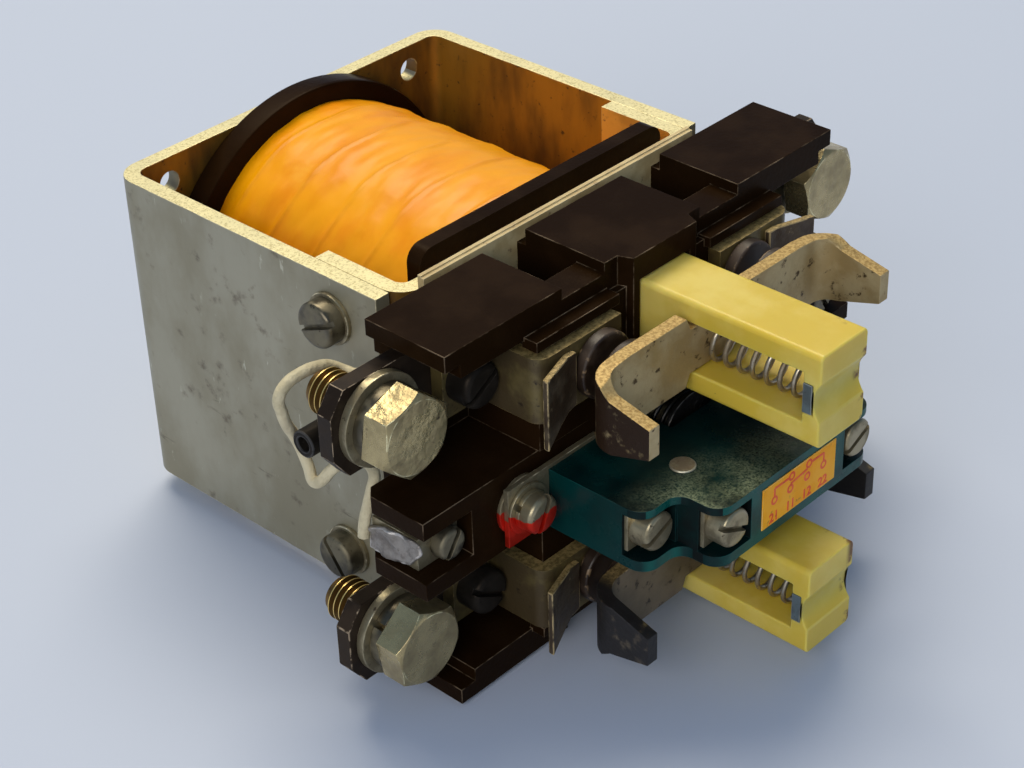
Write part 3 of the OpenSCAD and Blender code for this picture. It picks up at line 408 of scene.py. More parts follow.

# %% [markdown]
# ## The metals
# The yoke is zinc plated: a dull olive grey with streaks from top to bottom. The inside of the yoke is
# painted golden brown: a painted reflection of the orange coil, with dark patches of painted shade. The bolts
# are yellow zinc, and the crests of their threads carry a painted highlight. The contacts are copper, each in
# the state that the arcs and the years left it in: tinned, golden, sooty or brown; the lower bridge's sooty
# finish is darker still as painted shade.

# %% Metal finishes
zinc = weathered(
    "zinc plate", (0.27, 0.238, 0.155), (0.355, 0.325, 0.235), (0.15, 0.12, 0.075), (0.66, 0.58, 0.36),
    0.35, 0.48, 42, 0, 0.4, (0.38, 0.66), (1.2, 1.2, 0.7), (240, 0.58, 0.74), grain=(1500, 0.12, 0.0002))
# Painted reflection and shade: the golden brown stands for the orange coil's warm glow on the yoke's inside,
# and its dark patches for the shade there.
golden_zinc = weathered(
    "golden zinc", (0.34, 0.165, 0.015), (0.1, 0.048, 0.01), (0.08, 0.04, 0.012), (0.62, 0.46, 0.18),
    0.4, 0.45, 30, 2, 0.5, (0.42, 0.6), (1.5, 1.5, 0.5), grain=(1500, 0.1, 0.0002))
light_gold = weathered(
    "light golden zinc", (0.66, 0.36, 0.06), (0.5, 0.25, 0.035), (0.2, 0.11, 0.05), (0.75, 0.6, 0.3),
    0.35, 0.45, 60, 1)
dark_zinc = weathered(
    "dark zinc", (0.1, 0.086, 0.06), (0.22, 0.19, 0.125), (0.035, 0.026, 0.018), (0.42, 0.36, 0.2),
    0.85, 0.3, 220, 3, worn=(260, 0.5, 0.62))
bright_zinc = weathered(
    "bright zinc", (0.34, 0.29, 0.18), (0.2, 0.165, 0.1), (0.06, 0.04, 0.022), (0.72, 0.64, 0.44),
    0.75, 0.34, 260, 4, specks=(800, 0.62, 0.72), worn=(260, 0.5, 0.62))
bolt_zinc = weathered(
    "bolt zinc", (0.5, 0.4, 0.2), (0.29, 0.225, 0.115), (0.07, 0.05, 0.03), (0.82, 0.74, 0.44),
    0.75, 0.24, 180, 6, 0.38, (0.36, 0.7), specks=(520, 0.62, 0.72), worn=(260, 0.48, 0.6),
    grain=(420, 0.5, 0.0005))
# Painted highlight and shade: dark flanks, and the bright worn-edge colour on the crests.
thread_brass = weathered(
    "golden thread with painted shine", (0.2, 0.115, 0.03), (0.14, 0.075, 0.02), (0.06, 0.035, 0.012), (0.85, 0.6, 0.2),
    0.8, 0.3, 120, 8, 0.36, worn=(200, 0.1, 0.3))
tinned_copper = weathered(
    "tinned copper", (0.38, 0.27, 0.12), (0.5, 0.39, 0.21), (0.07, 0.04, 0.018), (0.5, 0.37, 0.18),
    0.35, 0.46, 120, 10, 0.55, (0.4, 0.62), specks=(430, 0.57, 0.66), worn=(700, 0.52, 0.6),
    grain=(800, 0.35, 0.0003))
gold_copper = weathered(
    "golden copper", (0.16, 0.12, 0.042), (0.075, 0.05, 0.02), (0.03, 0.018, 0.008), (0.55, 0.4, 0.16),
    0.35, 0.4, 110, 44, 0.5, (0.4, 0.6), specks=(600, 0.6, 0.7), worn=(300, 0.45, 0.6),
    grain=(800, 0.3, 0.0003))
# Soot and painted shade: the lower bridge lies in the auxiliary block's shade, so its whole finish is darker.
sooty_copper = weathered(
    "sooty and shaded copper", (0.12, 0.088, 0.052), (0.19, 0.145, 0.09), (0.03, 0.02, 0.012), (0.42, 0.3, 0.15),
    0.2, 0.5, 110, 48, 0.6, (0.38, 0.64), specks=(380, 0.56, 0.66), worn=(700, 0.52, 0.6),
    grain=(800, 0.4, 0.0003))
brown_copper = weathered(
    "browned copper", (0.055, 0.034, 0.018), (0.1, 0.072, 0.042), (0.28, 0.21, 0.12), (0.5, 0.37, 0.18),
    0.3, 0.45, 200, 46, specks=(500, 0.64, 0.72), worn=(300, 0.4, 0.55), grain=(700, 0.45, 0.0004))
dark_copper = weathered(
    "dark copper", (0.014, 0.009, 0.006), (0.03, 0.02, 0.013), (0.08, 0.055, 0.035), (0.32, 0.24, 0.16),
    0.0, 0.42, 150, 12, specks=(900, 0.66, 0.74), worn=(500, 0.48, 0.58))
contact_metal = weathered(
    "contact metal", (0.022, 0.012, 0.007), (0.05, 0.03, 0.018), (0.01, 0.006, 0.004), (0.2, 0.13, 0.07),
    0.1, 0.42, 240, 13, worn=(700, 0.54, 0.62))
black_steel = weathered(
    "black steel", (0.01, 0.0085, 0.007), (0.018, 0.015, 0.012), (0.006, 0.005, 0.004), (0.07, 0.06, 0.05),
    0.0, 0.4, 240, 14, worn=(260, 0.52, 0.62))
spring_steel = weathered(
    "spring steel", (0.46, 0.4, 0.3), (0.3, 0.24, 0.16), (0.1, 0.07, 0.04), (0.5, 0.45, 0.38),
    0.85, 0.28, 350, 15)
dark_spring = weathered(
    "dark spring", (0.045, 0.043, 0.04), (0.02, 0.018, 0.016), (0.1, 0.09, 0.08), (0.2, 0.19, 0.18),
    0.9, 0.3, 350, 16)
grey_steel = weathered(
    "grey steel", (0.15, 0.19, 0.2), (0.1, 0.12, 0.12), (0.06, 0.05, 0.04), (0.3, 0.32, 0.3),
    0.5, 0.45, 300, 17)
brass = weathered(
    "brass", (0.55, 0.38, 0.14), (0.36, 0.23, 0.08), (0.14, 0.08, 0.03), (0.8, 0.62, 0.3),
    0.8, 0.35, 260, 18)
rivet_metal = weathered(
    "rivet metal", (0.55, 0.48, 0.34), (0.38, 0.3, 0.2), (0.2, 0.14, 0.08), (0.8, 0.74, 0.56),
    0.75, 0.35, 350, 20)
solder = weathered(
    "solder", (0.3, 0.27, 0.24), (0.19, 0.165, 0.145), (0.09, 0.07, 0.055), (0.5, 0.46, 0.42),
    0.6, 0.34, 300, 19, specks=(600, 0.58, 0.7), grain=(420, 0.6, 0.0006))
print("metals:", len(bpy.data.materials) - 1)

# %% [markdown]
# ## Scratches, cut edges and burnt faces
# Where a sheet was cut, its edge shows brighter metal than its faces: straw coloured on the yoke, golden with
# dark specks on the contacts. Those edges look straight up or down, so the colour is laid where the surface
# normal does. The outer faces of the contact horns are brown from the arcs, and they are the faces that look
# away from the middle, to the left or to the right. On the lower bridge the darkening goes all round the
# horns, partly burn and partly painted shade, as that bridge lies in the auxiliary block's shade. The yoke
# has dark scratches that run across and pale ones that run from top to bottom.

# %% Colour by the way a face looks
STRAW = ((0.46, 0.37, 0.16), (0.8, 0.7, 0.38))
HORN_FROM = 24 * MM
HORN_TO = 28 * MM


def scratched(material, mark, scale, stretch):
    tree = material.node_tree
    lines = patches(tree, scale, 0.63, 0.69, 61, stretch)
    over(material, times(tree, lines, patches(tree, 50, 0.45, 0.6, 63), 0.8), mark)


def cut_edges(material, dark, light, scale, low, high, both_ways=False):
    tree = material.node_tree
    height = normal_part(tree, "Z")
    cut = ramped(tree, maths(tree, "ABSOLUTE", height) if both_ways else height, 0.75, 0.95)
    over(material, cut, mixed(tree, patches(tree, scale, low, high, 21), dark, light))


def burnt_outside(material, burnt, all_round=False):
    tree = material.node_tree
    across = place_part(tree, "X")
    soot = ramped(tree, maths(tree, "ABSOLUTE", across), HORN_FROM, HORN_TO)
    if not all_round:
        outward = times(tree, normal_part(tree, "X"), maths(tree, "SIGN", across))
        soot = times(tree, soot, ramped(tree, outward, 0.3, 0.75))
    ragged = times(tree, soot, patches(tree, 300, 0.25, 0.45, 37))
    over(material, ragged, burnt)
    metal = shader_of(material).inputs["Metallic"]
    plug(tree, ramped(tree, ragged, 0.0, 1.0, metal.default_value, 0.0), metal)


scratched(zinc, (0.11, 0.09, 0.05), 75, (1, 1, 6))
scratched(zinc, (0.6, 0.57, 0.44), 110, (1, 5, 1.5))
for sheet_finish in (zinc, light_gold, golden_zinc):
    cut_edges(sheet_finish, *STRAW, 2600, 0.3, 0.55, True)
cut_edges(tinned_copper, (0.3, 0.19, 0.065), (0.52, 0.36, 0.14), 2000, 0.38, 0.6)
cut_edges(gold_copper, (0.14, 0.1, 0.035), (0.36, 0.26, 0.1), 1600, 0.35, 0.62)
cut_edges(brown_copper, (0.16, 0.11, 0.04), (0.42, 0.3, 0.12), 1600, 0.35, 0.62)
cut_edges(sooty_copper, (0.12, 0.08, 0.03), (0.32, 0.22, 0.085), 1600, 0.4, 0.62)
burnt_outside(tinned_copper, (0.022, 0.01, 0.004))
# On the lower horns the darkening goes all round: burn and painted shade.
burnt_outside(sooty_copper, (0.01, 0.007, 0.005), True)
print("cut edges on:", zinc.name, "and the copper finishes")

# %% [markdown]
# ## The mouldings and the small stuff
# The base and the bobbin are a brown-black phenolic whose corners have chipped pale, with a little dust on
# top. The carriers are nylon: light goes a little way in, so they get some subsurface. The auxiliary block is
# dark green, and its screw recesses are painted nearly black as painted shade.

# %% Moulding finishes
black_moulding = weathered(
    "black moulding", (0.013, 0.0057, 0.0018), (0.0185, 0.0084, 0.003), (0.05, 0.036, 0.022),
    (0.17, 0.12, 0.075), 0.0, 0.28, 60, 22, 0.38, specks=(1500, 0.72, 0.78), worn=(190, 0.42, 0.66),
    grain=(1200, 0.2, 0.0002))
nylon = weathered(
    "yellow nylon", (0.66, 0.47, 0.055), (0.74, 0.57, 0.13), (0.2, 0.1, 0.03), (0.7, 0.53, 0.1),
    0.0, 0.36, 55, 24, 0.46, specks=(330, 0.73, 0.78), worn=(260, 0.3, 0.5), grain=(500, 0.12, 0.0003))
green_moulding = weathered(
    "green moulding", (0.001, 0.031, 0.029), (0.0008, 0.017, 0.0165), (0.016, 0.05, 0.042),
    (0.01, 0.1, 0.09), 0.0, 0.26, 60, 26, 0.36, specks=(1300, 0.68, 0.75), worn=(200, 0.4, 0.65),
    grain=(1000, 0.15, 0.0002))
# Painted shade: a near-black green for the walls of the screw recesses, which lie in shade.
grime = weathered(
    "grime in the recesses", (0.003, 0.006, 0.006), (0.001, 0.014, 0.013), (0.01, 0.012, 0.01),
    (0.001, 0.03, 0.028), 0.0, 0.6, 120, 29)
pressboard = weathered(
    "pressboard", (0.62, 0.48, 0.24), (0.5, 0.36, 0.16), (0.25, 0.16, 0.08), (0.72, 0.6, 0.36),
    0.0, 0.8, 200, 30)
braid = weathered(
    "cream braid", (0.66, 0.57, 0.37), (0.52, 0.44, 0.27), (0.3, 0.23, 0.13), (0.6, 0.55, 0.4),
    0.0, 0.8, 200, 31, specks=(700, 0.66, 0.76), grain=(1500, 0.5, 0.0005))
rubber = weathered(
    "black rubber", (0.008, 0.007, 0.006), (0.013, 0.011, 0.009), (0.03, 0.026, 0.022), (0.05, 0.05, 0.05),
    0.0, 0.5, 300, 32)
label_film = weathered(
    "label film", (1.0, 0.44, 0.012), (0.96, 0.38, 0.008), (0.5, 0.22, 0.03), (0.95, 0.7, 0.25),
    0.0, 0.4, 160, 33)
red_print = weathered(
    "red print", (0.9, 0.1, 0.016), (0.8, 0.07, 0.012), (0.4, 0.03, 0.01), (0.7, 0.08, 0.03),
    0.0, 0.45, 300, 34)
white_nylon = weathered(
    "white nylon", (0.6, 0.58, 0.5), (0.5, 0.47, 0.38), (0.3, 0.25, 0.18), (0.7, 0.68, 0.6),
    0.0, 0.45, 200, 35)
dull(black_moulding, 0.03, (1.0, 0.72, 0.5))
for dark_finish in (rubber, black_steel, dark_copper):
    dull(dark_finish, 0.16, (1.0, 0.78, 0.6))
for finish in (green_moulding, label_film, tinned_copper):
    dull(finish, 0.2)
dull(nylon, 0.35)
dull(grime, 0.15)
for label, value in (("Weight", 0.4), ("Radius", (1.0, 0.8, 0.3)), ("Scale", 0.004)):
    plug(nylon.node_tree, value, shader_of(nylon).inputs["Subsurface " + label])
print("finishes so far:", len(bpy.data.materials))

# %% [markdown]
# ## Dust, soot, painted shade, painted light and burns
# Dust settles on what faces up. The auxiliary block lies right under the upper contacts, so its top gets dark
# patches of soot and painted shade, and chalky dust lies on that near its front edge. Its front is painted a
# lighter green as painted light. The carriers have small brown burns along their right side, towards the
# front.

# %% Lay dust, soot, painted shade, painted light and burns over the mouldings
def dusted(material, dust, amount):
    tree = material.node_tree
    settled = times(tree, patches(tree, 90, 0.5, 0.75, 31), patches(tree, 3600, 0.36, 0.66, 32))
    over(material, times(tree, facing_up(tree, 0.3, 0.95), settled, amount), dust)


def sooty_top(material, soot, chalk, front_green):
    tree = material.node_tree
    (_, front, _), (_, _, top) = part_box("auxiliary_housing")
    upper = facing_up(tree, 0.5, 0.95)
    highest = ramped(tree, place_part(tree, "Z"), top - 1.4 * MM, top - 0.9 * MM)
    near_front = ramped(tree, place_part(tree, "Y"), front + 3 * MM, front + 17 * MM, 1.0, 0.0)
    to_left = ramped(tree, place_part(tree, "X"), -13 * MM, -5 * MM, 1.0, 0.2)
    powder = times(tree, patches(tree, 75, 0.36, 0.6, 77), patches(tree, 2800, 0.3, 0.66, 75))
    # Painted light: faces that look to the front get a lighter green, while the darker base stands for the
    # shaded sides.
    ahead = ramped(tree, times(tree, normal_part(tree, "Y"), -1.0), 0.5, 0.95)
    over(material, times(tree, ahead, patches(tree, 90, 0.3, 0.6, 79)), front_green)
    # Soot and painted shade: dark patches on the upward faces, for the shade under the upper contacts.
    over(material, times(tree, upper, patches(tree, 38, 0.3, 0.56, 71)), soot)
    over(material, times(tree, upper, highest, near_front, to_left, powder), chalk)


def scorched(material, brown):
    tree = material.node_tree
    (_, front, _), (side, _, _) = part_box("upper_carrier")
    right = ramped(tree, place_part(tree, "X"), side - 2.2 * MM, side - 0.6 * MM)
    near = ramped(tree, place_part(tree, "Y"), front + 2 * MM, front + 7 * MM, 1.0, 0.0)
    over(material, times(tree, patches(tree, 230, 0.5, 0.58, 81), right, near), brown)


dusted(black_moulding, (0.1, 0.065, 0.035), 0.1)
sooty_top(green_moulding, (0.001, 0.0075, 0.008), (0.3, 0.34, 0.2), (0.003, 0.085, 0.068))
scorched(nylon, (0.16, 0.065, 0.015))
print("aged:", black_moulding.name + ",", green_moulding.name, "and", nylon.name)

# %% [markdown]
# ## The tape
# The coil is wrapped in orange varnished tape. The varnish is a thin coat over the colour, kept rough
# enough not to mirror the lamps. Each turn's edge lies over the turn before it, and dirt gathers
# there: the winding carries an attribute named lap that is 1 along those edges, and the finish
# darkens where it is.

# %% Tape finish
tape = weathered(
    "orange tape", (0.94, 0.37, 0.0), (0.88, 0.28, 0.0), (0.96, 0.44, 0.03), (0.9, 0.55, 0.1),
    0.0, 0.4, 38, 28, 0.34, stretch=(1, 1.8, 1), specks=(75, 0.56, 0.74), grain=(240, 0.2, 0.0005))
dull(tape, 0.22)
shader_of(tape).inputs["Coat Weight"].default_value = 0.12
shader_of(tape).inputs["Coat Roughness"].default_value = 0.32
lap = add_node(tape.node_tree, "Attribute", attribute_name="lap").outputs["Fac"]
broken_lap = times(tape.node_tree, lap, patches(tape.node_tree, 90, 0.35, 0.6, 51), 0.45)
over(tape, broken_lap, (0.62, 0.2, 0.0))
print("tape finish:", tape.name)

# %% [markdown]
# ## Lock paint
# A dab of red paint locks the left bracket's screw. It covers the lower part of the bracket, of the
# washers and of the screw's head, so it is a layer over the zinc that stops at a height, with a
# ragged upper border, and only left of the auxiliary block.

# %% Red below a height, at the left
PAINT_RED = (0.62, 0.022, 0.008)


def with_paint(material, name, height):
    painted = material.copy()
    painted.name = name
    tree = painted.node_tree
    ragged = times(tree, patches(tree, 260, 0.3, 0.7, 40), 1.2 * MM)
    level = maths(tree, "ADD", place_part(tree, "Z"), ragged)
    below = ramped(tree, level, (height + 0.5) * MM, (height + 0.7) * MM, 1.0, 0.0)
    at_left = ramped(tree, place_part(tree, "X"), -26 * MM, -25 * MM, 1.0, 0.0)
    over(painted, times(tree, below, at_left), PAINT_RED)
    return painted


painted_bracket = with_paint(bright_zinc, "bracket zinc with paint", -0.6)
painted_head = with_paint(bright_zinc, "screw zinc with paint", 0.4)
print("painted finishes:", painted_bracket.name, "and", painted_head.name)

# %% [markdown]
# ## Softened edges
# No real edge is perfectly sharp: a small radius catches the light, and it is where the finish
# wears. The solid of a node arrives as loose triangles, so a copy is merged, its flat triangles are
# dissolved, and its sharp edges get a narrow bevel. Each face of that bevel is marked in an
# attribute named edge, which the worn edges read. Weighted normals keep the flat faces flat. The
# finished piece rides on its node's body, and hides the node.

# %% Copy a node and bevel it
BODIES = frame["record"]["behaviour"]["bodies"]
BODY_OF = {node: body for body, members in BODIES.items() for node in members}


def blank():
    mesh = bmesh.new()
    mesh.faces.layers.float.new("edge")
    return mesh


def merged(node):
    mesh = bmesh.new()
    mesh.from_mesh(nodes[node].data)
    bmesh.ops.remove_doubles(mesh, verts=mesh.verts, dist=0.002 * MM)
    return mesh


def cleaned(node):
    mesh = merged(node)
    bmesh.ops.dissolve_limit(mesh, angle_limit=math.radians(0.6), verts=mesh.verts, edges=mesh.edges)
    mesh.faces.layers.float.new("edge")
    return mesh


def bevelled(mesh, edges, width, segments):
    return bmesh.ops.bevel(mesh, geom=edges, offset=width * MM, offset_type="OFFSET", affect="EDGES",
                           segments=segments, profile=0.5, material=-1, clamp_overlap=True)["faces"]


def bevel_sharp(mesh, width, segments=2, angle=35.0):
    sharp = [e for e in mesh.edges if len(e.link_faces) == 2 and e.calc_face_angle(0.0) > math.radians(angle)]
    edge_mark = mesh.faces.layers.float["edge"]
    for face in bevelled(mesh, sharp, width, segments):
        face[edge_mark] = 1.0


def to_piece(mesh, name, materials, node, weighted=True):
    bmesh.ops.recalc_face_normals(mesh, faces=mesh.faces)
    for face in mesh.faces:
        face.smooth = True
    for edge in mesh.edges:
        edge.smooth = len(edge.link_faces) != 2 or edge.calc_face_angle(0.0) < math.radians(42)
    data = bpy.data.meshes.new(name)
    mesh.to_mesh(data)
    mesh.free()
    for material in materials:
        data.materials.append(material)
    piece = linked(name, data)
    if weighted:
        piece.modifiers.new("flat faces stay flat", "WEIGHTED_NORMAL").keep_sharp = True
    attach(piece, BODY_OF[node])
    return piece


def dress(mesh, node, materials, name=None, weighted=True):
    """The piece that is seen in a node's place."""
    piece = to_piece(mesh, name or node + "_soft", materials, node, weighted)
    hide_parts(node)
    return piece


def softened(names, material, width=0.25, segments=2):
    for node in names.split():
        mesh = cleaned(node)
        bevel_sharp(mesh, width, segments)
        dress(mesh, node, [material])


def islands(mesh):
    left = set(mesh.verts)
    while left:
        found, front = set(), [left.pop()]
        while front:
            vert = front.pop()
            found.add(vert)
            for edge in vert.link_edges:
                other = edge.other_vert(vert)
                if other in left:
                    left.discard(other)
                    front.append(other)
        yield found


def middle_of(island):
    return sum((v.co for v in island), Vector()) / len(island)


print("nodes with a body:", len(BODY_OF))

# %% [markdown]
# ## The mouldings and the contacts
# These pieces keep the shape of their solids. The mouldings get a slightly larger radius than the
# metal, and their chips come from the marked bevels.

# %% Soften the larger pieces
CORNERS = ("upper_left", "upper_right", "lower_left", "lower_right")

softened("contact_base traverse", black_moulding, 0.22)
softened("upper_carrier lower_carrier", nylon, 0.35, 3)
softened(" ".join("terminal_strip_" + corner for corner in CORNERS), dark_copper)
softened(" ".join("fixed_contact_" + corner for corner in CORNERS), gold_copper, 0.3)
softened("upper_bridge", tinned_copper, 0.3)
softened("lower_bridge", sooty_copper, 0.3)
softened("arc_plates", brown_copper)
softened("fixed_buttons upper_bridge_buttons lower_bridge_buttons", contact_metal, 0.5, 3)

# %% [markdown]
# ## The auxiliary block
# Painted shade fills the recesses that its screws sit in: their walls take a near-black green, since they lie
# in shade. A face belongs to a recess when it is small, upright, beside a screw, and not in front of that
# screw's middle.

# %% Soften the block and paint shade into its screw recesses
def block_with_recesses():
    mesh = cleaned("auxiliary_housing")
    bevel_sharp(mesh, 0.4, 3)
    screws = merged("auxiliary_screws")
    heads = [middle_of(island) for island in islands(screws)]
    screws.free()
    # The faces of the recesses take the painted shade, material 1.
    for face in mesh.faces:
        centre = face.calc_center_median()
        small = face.calc_area() < 90 * MM * MM and abs(face.normal.z) < 0.8
        for head in heads:
            near = abs(centre.x - head.x) < 4.7 * MM and abs(centre.z - head.z) < 5 * MM
            if near and small and centre.y > head.y - 2.2 * MM:
                face.material_index = 1
    piece = dress(mesh, "auxiliary_housing", [green_moulding, grime])
    print("faces with grime:", sum(f.material_index == 1 for f in piece.data.polygons))


block_with_recesses()

# %% [markdown]
# ## Domed screw heads
# The slotted heads are turned with a rounded rim, which is wider than the radius on the other edges.
# A screw's axis is known, so the rim is found by it: it lies between a face that looks along the
# axis and a side face that looks away from the screw's own middle. The slot's walls look towards
# the middle, so they stay sharp. Each screw of a node is a separate island of the mesh.

# %% Round only the rims of the heads
def rim_edges(mesh, axis):
    chosen = []
    for island in islands(mesh):
        middle = middle_of(island)
        outward = axis if axis.y else Vector((math.copysign(1.0, middle.x), 0, 0))
        tip = max(v.co.dot(outward) for v in island)
        for edge in {e for v in island for e in v.link_edges}:
            if len(edge.link_faces) != 2 or edge.calc_face_angle(0.0) < math.radians(60):
                continue
            caps = [f for f in edge.link_faces if f.normal.dot(outward) > 0.99]
            sides = [f for f in edge.link_faces if abs(f.normal.dot(outward)) < 0.3]
            if len(caps) != 1 or len(sides) != 1 or edge.verts[0].co.dot(outward) < tip - 0.3 * MM:
                continue
            across = sides[0].calc_center_median() - middle
            across -= outward * across.dot(outward)
            if across.length and sides[0].normal.dot(across.normalized()) > 0.8:
                chosen.append(edge)
    return chosen


def slotted_screws(node, material, dome, axis=(0, -1, 0)):
    mesh = cleaned(node)
    rims = rim_edges(mesh, Vector(axis))
    bevelled(mesh, rims, dome, 5)
    bevel_sharp(mesh, 0.12, 2, 50.0)
    dress(mesh, node, [material])
    print(node, "rim edges:", len(rims))


slotted_screws("yoke_screws", dark_zinc, 0.9, (1, 0, 0))
slotted_screws("strip_screws", black_steel, 1.1)
slotted_screws("coil_clip_screws", dark_zinc, 0.7)
slotted_screws("auxiliary_screws", bright_zinc, 0.7)
slotted_screws("bracket_screws", painted_head, 0.9)

# %% [markdown]
# ## Fasteners and small plates
# These need a narrow bevel only. The brackets and their washers take the finishes with paint.

# %% Soften the other fasteners and the small plates
softened("base_screws carrier_screws core_screw pull_rod", dark_zinc)
softened("yoke_screw_washers terminal_washers auxiliary_clamp_washers", bright_zinc, 0.2)
softened("coil_clips", bright_zinc, 0.15)
softened("auxiliary_brackets", painted_bracket, 0.2)
softened("bracket_washers bracket_spring_washers bracket_spacers", painted_head, 0.15)
softened("terminal_spring_washers", dark_zinc, 0.15)
softened("spring_seats", grey_steel, 0.15)
softened("spring_cup", dark_spring, 0.15)
softened("auxiliary_rivets", rivet_metal, 0.3, 4)
softened("auxiliary_pusher", white_nylon, 0.15)
softened("auxiliary_terminals auxiliary_moving_contact guide_tube", brass, 0.1)
softened("fixed_core plunger", dark_zinc, 0.3)
softened("insulating_sheet", pressboard, 0.12)

# %% [markdown]
# ## Solder
# The solder on the clips is a puddle that froze: flat against the clip, rounded at its border and
# lumpy. The solid's slab is divided finely and its outer face is moved in and out by noise, less
# near the clip so that it stays seated.

# %% Make the solder lumpy
def lumpy_solder():
    mesh = cleaned("coil_solder")
    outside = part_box("coil_solder")[1][0]
    limit = outside + 0.4 * MM
    bevel_sharp(mesh, 0.35, 3)
    bmesh.ops.triangulate(mesh, faces=mesh.faces[:])
    long_edges = [e for e in mesh.edges if e.calc_length() > 0.9 * MM]
    bmesh.ops.subdivide_edges(mesh, edges=long_edges, cuts=3, use_grid_fill=True)
    bmesh.ops.triangulate(mesh, faces=mesh.faces[:])
    bmesh.ops.subdivide_edges(mesh, edges=[e for e in mesh.edges if e.calc_length() > 0.6 * MM], cuts=1)
    bmesh.ops.triangulate(mesh, faces=mesh.faces[:])
    seat = outside - 0.9 * MM
    for vert in mesh.verts:
        out = min(1.0, max(0.0, (abs(vert.co.x) - seat) / (0.8 * MM)))
        side = math.copysign(1.0, vert.co.x)
        lump = noise.fractal(vert.co * 420, 1.0, 2.0, 3)
        vert.co.x += side * out * (0.55 * lump - 0.1) * MM
        vert.co.z += out * 0.25 * noise.noise(vert.co * 500) * MM
        if abs(vert.co.x) > limit:
            vert.co.x = side * limit
    piece = dress(mesh, "coil_solder", [solder], "solder_puddles", weighted=False)
    print("solder faces:", len(piece.data.polygons))


lumpy_solder()

# %% [markdown]
# ## The yoke and the pole plate
# Both are bent from 3 mm sheet. The side that looks towards the coil has another colour than the outside,
# golden in the yoke and light gold on the plate, so it takes a second material. The yoke's golden inside is a
# painted reflection of the orange coil, and its dark patches are painted shade.

# %% Soften the steel sheets and give them another inside
COIL_MIDDLE = -35 * MM


def steel_sheet(node, inside, outside):
    low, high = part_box(node)
    mesh = cleaned(node)
    bevel_sharp(mesh, 0.3)
    for face in mesh.faces:
        centre = face.calc_center_median()
        to_coil = Vector((-centre.x, COIL_MIDDLE - centre.y, 0))
        within = abs(face.normal.z) < 0.5 and abs(centre.x) < (high[0] - low[0]) / 2 - 1 * MM
        if within and face.normal.dot(to_coil) > 0:
            face.material_index = 1
    dress(mesh, node, [outside, inside])


steel_sheet("yoke", golden_zinc, zinc)
steel_sheet("pole_plate", light_gold, golden_zinc)

# %% [markdown]
# ## Turned pieces
# What is round about the depth axis is spun: a profile of a few points, drawn as radius and depth,
# goes once round. Where only part of a solid is spun anew, the solid's copy is first cut off behind
# a plane, and the new part is joined to it.

# %% Spin a profile about the depth axis, and cut off what lies behind a plane
def spun(profile, steps, place=(0.0, 0.0)):
    mesh = blank()
    points = [mesh.verts.new((radius * MM, depth * MM, 0)) for radius, depth in profile]
    ring = [mesh.edges.new((points[k], points[(k + 1) % len(points)])) for k in range(len(points))]
    bmesh.ops.spin(mesh, geom=points + ring, cent=(0, 0, 0), axis=(0, 1, 0), dvec=(0, 0, 0),
                   angle=math.tau, steps=steps, use_merge=True, use_duplicate=False)
    bmesh.ops.remove_doubles(mesh, verts=mesh.verts, dist=0.001 * MM)
    bmesh.ops.recalc_face_normals(mesh, faces=mesh.faces)
    bmesh.ops.translate(mesh, verts=mesh.verts, vec=(place[0] * MM, 0, place[1] * MM))
    return mesh


def join(target, other):
    data = bpy.data.meshes.new("joined")
    other.to_mesh(data)
    other.free()
    target.from_mesh(data)
    bpy.data.meshes.remove(data)


def edges_of(geometry):
    return [e for e in geometry if isinstance(e, bmesh.types.BMEdge)]


def cut_behind(mesh, depth):
    cut = bmesh.ops.bisect_plane(mesh, geom=mesh.verts[:] + mesh.edges[:] + mesh.faces[:],
                                 plane_co=(0, depth * MM, 0), plane_no=(0, 1, 0), clear_outer=True)
    bmesh.ops.holes_fill(mesh, edges=edges_of(cut["geom_cut"]))


def depth_of(node):
    """Where a node's solid begins and ends, in mm."""
    low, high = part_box(node)
    return low[1] / MM, high[1] / MM


print("winding, front and rear:", depth_of("coil_winding"))

# %% [markdown]
# ## The coil
# The winding is wrapped in varnished tape. It bulges a little in the middle, each ply of tape laps
# over the last one in a slight step, and the tape wrinkles. The drum is spun finely, then each point
# moves in or out by the step, the bulge and a little noise.

# %% Wind the tape
WINDING_R = 31.5
PLY = 11.0
TUBE_WALL = 1.5
TUBE_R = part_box("guide_tube")[1][0] / MM


def ply_place(angle, depth):
    """How far across its turn of tape a point lies, from 0 at the upper edge to 1."""
    sway = 2.6 * math.sin(angle) + 1.3 * math.sin(2 * angle) + 0.35 * math.sin(9 * angle)
    return ((depth + sway) / PLY) % 1.0


def tape_radius(angle, depth, share):
    ply = ply_place(angle, depth)
    lap_step = 0.3 * (1 - min(1.0, ply / 0.1)) + 0.12 * ply
    bulge = 0.55 * (1 - (2 * share - 1) ** 4)
    place = Vector((math.cos(angle) * 3.1, math.sin(angle) * 3.1, depth * 0.1))
    across = Vector((math.cos(angle) * 5 + depth * 0.12, math.sin(angle) * 5, depth * 0.4))
    wrinkle = 0.3 * noise.fractal(place, 1.0, 2.0, 4) + 0.2 * noise.noise(across)
    return min(WINDING_R, WINDING_R - 0.75 + lap_step + bulge - 0.35 + wrinkle)


